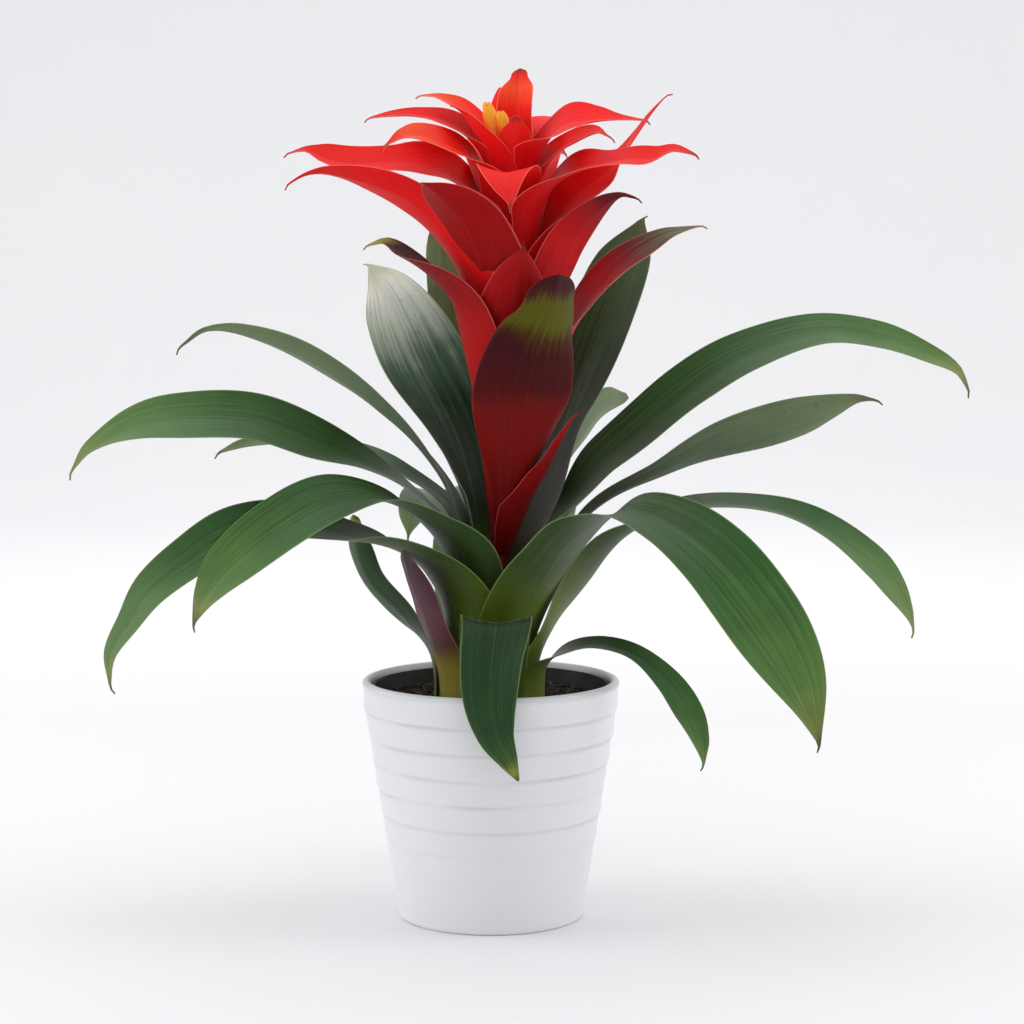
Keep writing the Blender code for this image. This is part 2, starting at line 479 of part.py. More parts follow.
def add_bracts(finish):
    """The red bracts, which stand one inside the next up the stem."""
    for name, height, heading, points in BRACTS:
        start = height * GROWTH
        surface = SHEATH_GAP + BRACT_THICKNESS / 2
        route = [(stem_radius(start) + surface, start, heading, BRACT_FOOT_WIDTH, 0.0)]
        for out, up, turn, width, roll in points:
            reach = stem_radius(up * GROWTH) + surface + out * GROWTH
            route.append((reach, up * GROWTH, heading + turn, width * GROWTH, roll))
        rows = curve_through(route, BRACT_STATIONS)
        add_blade(name, rows, BRACT_THICKNESS, (BRACT_FOOT_WRAP, BRACT_WRAP), 1.0, finish)


def add_tube(name, rings, sides, finish):
    """A closed round tube through (centre, radius) rings."""
    mesh = bmesh.new()
    loops = []
    for centre, radius in rings:
        loop = []
        for i in range(sides):
            angle = 2 * math.pi * i / sides
            offset = Vector((radius * math.cos(angle), radius * math.sin(angle), 0))
            loop.append(mesh.verts.new(centre + offset))
        loops.append(loop)
    for near, far in zip(loops, loops[1:]):
        for i in range(sides):
            j = (i + 1) % sides
            mesh.faces.new((near[i], near[j], far[j], far[i]))
    mesh.faces.new(loops[0][::-1])
    mesh.faces.new(loops[-1])
    return add_object(name, mesh, finish)


def add_stem(finish):
    """The stalk, which leans a little towards +X as it rises."""
    foot = SEAT_GAP - WELL_DEPTH
    top = STEM_HEIGHT * GROWTH
    rings = []
    for i in range(STEM_RINGS + 1):
        height = foot + (top - foot) * i / STEM_RINGS
        centre = Vector((stem_axis(height), 0, SOIL_LEVEL + height))
        rings.append((centre, stem_radius(height)))
    add_tube("stem", rings, STEM_SIDES, finish)


def add_flowers(finish):
    """The flowers' closed tips, in the cup of the top bracts."""
    for name, foot, tip in FLOWERS:
        start = Vector(foot) * GROWTH
        end = Vector(tip) * GROWTH
        rings = []
        for i in range(FLOWER_RINGS + 1):
            share = i / FLOWER_RINGS
            swell = math.sin(math.pi * share * FLOWER_SWELL_SPAN)
            radius = FLOWER_BASE_RADIUS + (FLOWER_RADIUS - FLOWER_BASE_RADIUS) * swell
            centre = start.lerp(end, share) + Vector((STEM_LEAN, 0, SOIL_LEVEL))
            rings.append((centre, radius * (1 - FLOWER_POINT * share ** FLOWER_POINT_POWER)))
        add_tube(name, rings, FLOWER_SIDES, finish)


def turned(profile, segments):
    """A bmesh turned about Z from (radius, z) points that start and end on the axis."""
    mesh = bmesh.new()
    poles = [mesh.verts.new((0, 0, profile[0][1])), mesh.verts.new((0, 0, profile[-1][1]))]
    rings = []
    for radius, z in profile[1:-1]:
        ring = []
        for i in range(segments):
            angle = 2 * math.pi * i / segments
            ring.append(mesh.verts.new((radius * math.cos(angle), radius * math.sin(angle), z)))
        rings.append(ring)
    for i in range(segments):
        j = (i + 1) % segments
        mesh.faces.new((poles[0], rings[0][j], rings[0][i]))
        mesh.faces.new((poles[1], rings[-1][i], rings[-1][j]))
        for near, far in zip(rings, rings[1:]):
            mesh.faces.new((near[i], near[j], far[j], far[i]))
    return mesh


def outer_radius(z):
    """The cover pot's outer radius: a straight taper, then a steeper band to the rim."""
    band = POT_HEIGHT - POT_BAND_HEIGHT
    if z < band:
        return POT_BASE_RADIUS + (POT_BAND_RADIUS - POT_BASE_RADIUS) * z / band
    return POT_BAND_RADIUS + (POT_RIM_RADIUS - POT_BAND_RADIUS) * (z - band) / POT_BAND_HEIGHT


def inner_radius(z):
    """The cover pot's inner radius."""
    return outer_radius(z) - POT_WALL


def add_pot(finish):
    """The cover pot, with a flat underside and a rounded rim."""
    band = POT_HEIGHT - POT_BAND_HEIGHT
    bevel = POT_FOOT_BEVEL
    profile = [(0, 0), (POT_BASE_RADIUS - bevel, 0)]
    for z in (bevel, band):
        profile.append((outer_radius(z), z))
    middle = POT_RIM_RADIUS - POT_WALL / 2
    round_level = POT_HEIGHT - POT_WALL / 2
    for i in range(RIM_STEPS + 1):
        angle = math.pi * i / RIM_STEPS
        profile.append((
            middle + POT_WALL / 2 * math.cos(angle), round_level + POT_WALL / 2 * math.sin(angle)))
    profile += [(inner_radius(band), band), (inner_radius(POT_FLOOR), POT_FLOOR), (0, POT_FLOOR)]
    return add_object("pot", turned(profile, POT_SEGMENTS), finish)


def add_nursery_pot(finish):
    """The thin dark pot, which stands on the cover pot's floor and follows its wall."""
    band = POT_HEIGHT - POT_BAND_HEIGHT
    floor = POT_FLOOR + SEAT_GAP
    rim = POT_HEIGHT - NURSERY_RIM_DROP
    profile = [(0, floor)]
    for z in (floor, band, rim):
        profile.append((inner_radius(z) - SEAT_GAP, z))
    for z in (rim, band, floor + NURSERY_WALL):
        profile.append((inner_radius(z) - SEAT_GAP - NURSERY_WALL, z))
    profile.append((0, floor + NURSERY_WALL))
    return add_object("nursery_pot", turned(profile, POT_SEGMENTS), finish)


def add_soil(finish):
    """The soil fills the nursery pot, uneven on top, with a well for the plant's foot."""
    floor = POT_FLOOR + 2 * SEAT_GAP + NURSERY_WALL
    wall_gap = 2 * SEAT_GAP + NURSERY_WALL
    edge = inner_radius(SOIL_LEVEL) - wall_gap
    band = POT_HEIGHT - POT_BAND_HEIGHT
    well = layer_radius(LEAF_LAYERS - 1) + LEAF_THICKNESS / 2 + SHEATH_GAP
    well_floor = SOIL_LEVEL - WELL_DEPTH
    profile = [(0, floor), (inner_radius(floor) - wall_gap, floor), (inner_radius(band) - wall_gap, band)]
    profile.append((edge, SOIL_LEVEL))
    for i in range(1, SOIL_RINGS + 1):
        profile.append((edge + (well - edge) * i / SOIL_RINGS, SOIL_LEVEL))
    profile += [(well, well_floor), (0, well_floor)]
    mesh = turned(profile, POT_SEGMENTS)
    for vertex in mesh.verts:
        x, y, z = vertex.co
        if abs(z - SOIL_LEVEL) < SEAT_GAP and math.hypot(x, y) < edge - SEAT_GAP:
            vertex.co.z += SOIL_BUMP * math.sin(SOIL_RIPPLE * x) * math.cos(SOIL_RIPPLE * y)
    return add_object("soil", mesh, finish)


def main():
    for old in list(bpy.data.objects):
        bpy.data.objects.remove(old)
    add_pot(material("white_glaze"))
    add_nursery_pot(material("dark_plastic"))
    add_soil(material("bark_soil"))
    add_stem(material("stem_green"))
    green = material("leaf_green")
    add_leaves(green)
    add_rim_leaf(green)
    add_bracts(material("bract_red"))
    add_flowers(material("flower_yellow"))


main()
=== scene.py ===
"""The look of a red-bracted bromeliad in a white cover pot, in metres with +Z up.

The plant's blades, the pot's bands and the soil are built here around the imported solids.
Leaves and bracts are thin closed blades that follow a midrib out from the stem. The pot's
bands, the bark chips and the pale fibres come from geometry node trees.
"""

import math
import random

import bmesh
import bpy
from mathutils import Matrix, Vector


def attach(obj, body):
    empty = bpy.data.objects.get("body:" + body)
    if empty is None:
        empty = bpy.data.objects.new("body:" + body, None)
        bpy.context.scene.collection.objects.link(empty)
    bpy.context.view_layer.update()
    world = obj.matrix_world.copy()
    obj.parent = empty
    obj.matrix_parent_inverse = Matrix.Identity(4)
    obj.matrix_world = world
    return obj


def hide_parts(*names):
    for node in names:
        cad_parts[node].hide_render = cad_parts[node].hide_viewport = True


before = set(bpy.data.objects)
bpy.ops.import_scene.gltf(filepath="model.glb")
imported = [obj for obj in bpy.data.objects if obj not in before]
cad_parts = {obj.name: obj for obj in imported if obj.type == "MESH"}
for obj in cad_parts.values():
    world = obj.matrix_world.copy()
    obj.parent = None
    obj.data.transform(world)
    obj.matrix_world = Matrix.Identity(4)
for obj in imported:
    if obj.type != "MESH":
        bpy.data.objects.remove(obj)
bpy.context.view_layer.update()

bl_info = {
    "name": "Potted bromeliad",
    "version": (1, 0, 0),
    "blender": (4, 5, 0),
    "location": "View3D > Sidebar > Bromeliad",
    "description": "Builds the leaves, bracts, flowers, soil and banded pot of a bromeliad",
    "category": "Object",
}

# Pot
POT_HEIGHT = 0.130
POT_RIM_RADIUS = 0.070
POT_BASE_RADIUS = 0.0505
POT_BAND_HEIGHT = 0.016
POT_BAND_RADIUS = 0.0685
POT_WALL = 0.0048
POT_FLOOR = 0.006
POT_FOOT_BEVEL = 0.0015
POT_SEGMENTS = 160
POT_ROW_HEIGHT = 0.0006
POT_RELIEF_ROOM = 0.00025
RIM_STEPS = 12
BEVEL_STEPS = 4

# Soil
SOIL_DROP = 0.012
SOIL_LEVEL = POT_HEIGHT - SOIL_DROP
SOIL_SIDE_GAP = 0.002
SOIL_RINGS = 26
SOIL_SEGMENTS = 96
SOIL_DEPTH = 0.020
SOIL_LUMP = 0.0008
SOIL_WAVES = (300, 260)
LUMPY_RADIUS = POT_BASE_RADIUS * 1.1
CHIP_TILT = 0.6
FIBRE_LENGTH_SHARE = 1.6
FIBRE_THICKNESS_SHARE = 0.035
WELL_DEPTH = 0.006
FOOT_GAP = 0.0006

# Stem and the blades' layers round it
STEM_RADIUS = 0.0055
STEM_TIP_RADIUS = 0.0038
STEM_HEIGHT = 0.272
STEM_LEAN = 0.0115
STEM_LEAN_HEIGHT = 0.180
LEAF_PITCH = 0.00135
FIRST_LAYER_GAP = 0.00095
BRACT_GAP = 0.0009
BRACT_FOOT_WIDTH = 0.016
LEAF_FULL_SPAN = (0.16, 0.50)
BRACT_FULL_SPAN = (0.30, 0.85)
LEAF_WRAPS = (math.radians(55), math.radians(66))
BRACT_WRAPS = (math.radians(60), math.radians(72))
WRAP_WIDENS = 0.010
WRAP_FULL = 0.024
GUTTER_ANGLE = math.radians(26)
MIN_CURVE = 2.0
CURVE_STEPS = 12
MIN_WIDTH = 0.0005
MARGIN_SHARE = 0.7
RUFFLE_WAVES = (2.0, 3.4)
RUFFLE_FULL_WIDTH = 0.020
RUFFLE_SPAN = (0.25, 0.55)
PATTERN_STEP = 7.3
SMOOTH_ANGLE = math.radians(50)
FLOWER_RINGS = 18
FLOWER_SIDES = 24

# Stage: a round floor that sweeps up to a wall, the camera, and one row for each lamp with
# its name, place, aim and size.
FLOOR_REACH = 2.4
FLOOR_SWEEP = 2.2
FLOOR_DEPTH = 0.02
FLOOR_SEGMENTS = 128
SWEEP_STEPS = 8
SWEEP_SHARE = 0.98
SKY_STRENGTH = 0.78
CAMERA_PLACE = (0.0115, -1.364, 0.348)
CAMERA_TILT = math.radians(84.67)
SENSOR_WIDTH = 36.0
LAMP_AIM = (0.0, 0.0, 0.22)
LAMPS = [
    ("left", (-1.5, 0.0, 0.8), LAMP_AIM, 1.1),
    ("right", (1.5, 0.1, 0.8), LAMP_AIM, 1.1),
    ("top", (0.0, 0.5, 2.2), LAMP_AIM, 2.2),
    ("wall", (0.0, 1.0, 2.2), (0.0, 4.4, 1.6), 2.0),
]

# Noise cells across and along a blade, for its veins and for the fine lines between them.
VEIN_CELLS = (26.0, 2.6)
FINE_VEIN_CELLS = (150.0, 5.0)

# Reach from the stem where a blade stops wrapping it, and where it is a shallow gutter.
LEAF_OPENS = (0.030, 0.065)
BRACT_OPENS = (0.012, 0.034)

# The thin dry hook past each blade's tip: turn downwards, share of the hook's length, width.
HOOK = [(8, 0.40, 0.0018), (16, 0.35, 0.0011), (24, 0.25, 0.0006)]

# A tip wider than this ends in a half round: share of its width further on, share kept.
BROAD_TIP = 0.0065
ROUND_END = [(0.25, 0.87), (0.40, 0.60), (0.47, 0.33), (0.50, 0.10)]

# One row for each leaf: name, layer from the stem outwards, heading in degrees from +X
# towards +Y, and the midrib's points. A point is (out, up, turn, width, roll): out from
# the leaf's own layer, up from the soil, the degrees that it has swung round the stem,
# the blade's width there, and the degrees that the blade is rolled about its midrib.
LEAVES = [
    ("leaf_right_upright", 0, 50, [
        (0.001, 0.050, 0, 0.020, 0), (0.010, 0.080, -1, 0.025, 0), (0.034, 0.119, -2, 0.031, -10),
        (0.062, 0.161, -2, 0.039, 2), (0.087, 0.203, -2, 0.042, 16), (0.107, 0.238, -2, 0.035, 15),
        (0.121, 0.260, -2, 0.006, 12)]),
    ("leaf_left_upright", 1, 145, [
        (0.002, 0.060, 0, 0.032, 0), (0.012, 0.105, -2, 0.046, -2), (0.030, 0.146, -4, 0.055, -10),
        (0.044, 0.178, -4, 0.055, -24), (0.055, 0.205, -4, 0.044, -36), (0.067, 0.223, -5, 0.026, -45),
        (0.079, 0.234, -5, 0.006, -45)]),
    ("leaf_back_short", 3, 58, [
        (0.002, 0.050, 0, 0.011, 0), (0.012, 0.076, 0, 0.012, 0), (0.046, 0.106, -1, 0.019, -45),
        (0.080, 0.136, -1, 0.024, -66), (0.106, 0.154, -1, 0.024, -70), (0.132, 0.158, -1, 0.008, -70)]),
    ("leaf_back_upright", 2, 115, [
        (0.001, 0.045, 0, 0.011, 0), (0.009, 0.088, 0, 0.012, 0), (0.024, 0.124, 0, 0.018, 0),
        (0.042, 0.158, -3, 0.022, 0), (0.060, 0.204, -4, 0.025, 0), (0.071, 0.242, -4, 0.020, 0),
        (0.076, 0.262, -4, 0.006, 0)]),
    ("leaf_left_slender", 4, 166, [
        (0.001, 0.050, 0, 0.014, 0), (0.010, 0.090, 0, 0.020, 0), (0.026, 0.124, 0, 0.024, 12),
        (0.050, 0.157, 0, 0.026, 30), (0.090, 0.184, 0, 0.026, 33), (0.128, 0.198, 0, 0.019, 24),
        (0.150, 0.200, 0, 0.009, 12), (0.164, 0.192, 0, 0.003, 10)]),
    ("leaf_left_back", 5, 146, [
        (0.002, 0.055, 0, 0.017, 0), (0.016, 0.097, 0, 0.014, 0), (0.042, 0.119, 1, 0.019, 0),
        (0.076, 0.132, 2, 0.025, -4), (0.112, 0.136, 3, 0.027, 0), (0.146, 0.134, 3, 0.020, 6),
        (0.168, 0.129, 3, 0.005, 6)]),
    ("leaf_right_arch", 6, -4, [
        (0.001, 0.050, 0, 0.026, 0), (0.012, 0.090, 5, 0.027, 0), (0.036, 0.119, 10, 0.032, 18),
        (0.066, 0.145, 10, 0.036, 34), (0.094, 0.168, 10, 0.038, 34), (0.124, 0.186, 10, 0.038, 31),
        (0.164, 0.198, 10, 0.035, 30), (0.200, 0.195, 10, 0.028, 34), (0.228, 0.186, 10, 0.016, 38),
        (0.242, 0.179, 10, 0.008, 45), (0.248, 0.170, 10, 0.003, 50)]),
    ("leaf_front_left", 10, 238, [
        (0.003, 0.052, 0, 0.025, 0), (0.011, 0.080, -6, 0.032, 0), (0.025, 0.098, -18, 0.034, 0),
        (0.044, 0.112, -28, 0.033, -10), (0.073, 0.112, -31, 0.038, -34), (0.104, 0.098, -31, 0.038, -36),
        (0.130, 0.080, -31, 0.031, -32), (0.142, 0.067, -31, 0.018, -28), (0.149, 0.055, -31, 0.005, -22)]),
    ("leaf_back_left_low", 8, 108, [
        (0.002, 0.040, 0, 0.026, 0), (0.018, 0.074, 0, 0.030, 0), (0.046, 0.096, 0, 0.034, 0),
        (0.080, 0.106, 0, 0.035, 0), (0.110, 0.100, 0, 0.031, 0), (0.134, 0.086, 0, 0.020, 0),
        (0.146, 0.076, 0, 0.004, 0)]),
    ("leaf_right_spatulate", 9, 10, [
        (0.002, 0.050, 0, 0.020, 0), (0.018, 0.089, -5, 0.018, -12), (0.046, 0.111, -7, 0.014, -34),
        (0.072, 0.124, -7, 0.018, -36), (0.090, 0.133, -7, 0.024, -40), (0.108, 0.140, -7, 0.028, -50),
        (0.132, 0.147, -7, 0.029, -62), (0.152, 0.153, -7, 0.026, -62), (0.168, 0.159, -7, 0.017, -56),
        (0.180, 0.163, -7, 0.008, -46), (0.188, 0.163, -7, 0.003, -34)]),
    ("leaf_left_arch", 7, 190, [
        (0.001, 0.050, 0, 0.024, 0), (0.013, 0.090, -3, 0.025, 0), (0.032, 0.115, -5, 0.029, 0),
        (0.052, 0.129, -6, 0.034, -16), (0.080, 0.140, -6, 0.039, -34), (0.114, 0.152, -6, 0.040, -37),
        (0.154, 0.153, -6, 0.038, -36), (0.176, 0.149, -6, 0.031, -33), (0.198, 0.138, -6, 0.014, -28),
        (0.207, 0.128, -6, 0.003, -30)]),
    ("leaf_back_right_low", 11, 76, [
        (0.002, 0.030, 0, 0.028, 0), (0.018, 0.062, 0, 0.032, 0), (0.048, 0.086, 0, 0.036, 0),
        (0.086, 0.098, 0, 0.037, 0), (0.118, 0.094, 0, 0.032, 0), (0.140, 0.084, 0, 0.020, 0),
        (0.152, 0.074, 0, 0.005, 0)]),
    ("leaf_front_right_broad", 12, -57, [
        (0.000, 0.030, 0, 0.032, 0), (0.010, 0.058, 6, 0.036, 2), (0.022, 0.080, 13, 0.038, 0),
        (0.041, 0.097, 18, 0.040, -4), (0.067, 0.108, 19, 0.041, 12), (0.096, 0.101, 19, 0.043, 25),
        (0.122, 0.086, 19, 0.044, 35), (0.142, 0.068, 19, 0.043, 41), (0.161, 0.047, 19, 0.038, 50),
        (0.174, 0.027, 19, 0.027, 48), (0.184, 0.002, 19, 0.004, 34)]),
    ("leaf_left_drooping", 13, 228, [
        (0.001, 0.030, 0, 0.032, 0), (0.005, 0.053, -6, 0.034, 0), (0.016, 0.073, -16, 0.032, 4),
        (0.032, 0.085, -26, 0.032, 4), (0.054, 0.091, -34, 0.034, -14), (0.085, 0.098, -36, 0.036, -30),
        (0.114, 0.093, -36, 0.037, -38), (0.138, 0.079, -36, 0.035, -35), (0.158, 0.064, -36, 0.030, -32),
        (0.170, 0.048, -36, 0.021, -30), (0.180, 0.032, -36, 0.012, -30), (0.181, 0.017, -36, 0.003, -28)]),
    ("leaf_right_low_arch", 14, -12, [
        (0.000, 0.020, 0, 0.024, 0), (0.006, 0.038, 4, 0.024, 0), (0.018, 0.060, 12, 0.024, -25),
        (0.038, 0.081, 18, 0.026, -30), (0.064, 0.097, 22, 0.026, 4), (0.093, 0.105, 22, 0.026, 12),
        (0.131, 0.102, 22, 0.028, 17), (0.160, 0.091, 22, 0.028, 32), (0.190, 0.070, 22, 0.025, 50),
        (0.203, 0.056, 22, 0.018, 58), (0.211, 0.043, 22, 0.009, 56), (0.214, 0.035, 22, 0.003, 50)]),
    ("leaf_back_low", 15, 92, [
        (0.001, 0.020, 0, 0.028, 0), (0.018, 0.054, 0, 0.032, 0), (0.050, 0.080, 3, 0.036, 0),
        (0.090, 0.080, 5, 0.037, 0), (0.124, 0.058, 6, 0.032, 0), (0.144, 0.026, 6, 0.020, 0),
        (0.152, 0.000, 6, 0.004, 0)]),
    ("leaf_purple_stub", 16, 208, [
        (0.001, 0.015, 0, 0.028, 0), (0.006, 0.030, 0, 0.032, 0), (0.013, 0.048, 0, 0.035, 0),
        (0.020, 0.065, 0, 0.031, 0), (0.024, 0.078, 0, 0.018, 0), (0.026, 0.084, 0, 0.006, 0)]),
    ("leaf_front_right_small", 17, -34, [
        (0.000, 0.012, 0, 0.020, 0), (0.004, 0.022, 4, 0.019, 6), (0.015, 0.030, 8, 0.017, 14),
        (0.034, 0.034, 9, 0.015, 14), (0.055, 0.030, 9, 0.014, 26), (0.074, 0.017, 9, 0.015, 42),
        (0.086, 0.001, 9, 0.016, 50), (0.092, -0.013, 9, 0.011, 42), (0.094, -0.022, 9, 0.004, 34)]),
    ("leaf_left_small", 18, 170, [
        (0.000, 0.012, 0, 0.018, 0), (0.004, 0.026, 0, 0.018, 10), (0.019, 0.046, 0, 0.019, 44),
        (0.036, 0.064, 0, 0.020, 56), (0.043, 0.081, 0, 0.019, 54), (0.045, 0.095, 0, 0.010, 50)]),
]

# The leaf that folds forward over the rim. The points of its rise are (out, up, turn, width)
# as above, and those of its fall are from the rim's outer edge and the rim's top.
RIM_LEAF_LAYER = 19
RIM_LEAF_HEADING = -88
RIM_LEAF_CLEARANCE = 0.0035
RIM_LEAF_RISE = [(0.000, 0.010, 0, 0.036), (0.004, 0.030, 0, 0.038), (0.010, 0.043, 0, 0.038)]
RIM_LEAF_FALL = [
    (-0.014, 0.038, 1, 0.038), (-0.003, 0.022, -1, 0.034), (0.005, 0.000, -2, 0.028),
    (0.009, -0.016, 0, 0.021), (0.011, -0.028, 4, 0.012), (0.012, -0.037, 7, 0.004),
    (0.012, -0.040, 8, 0.001)]

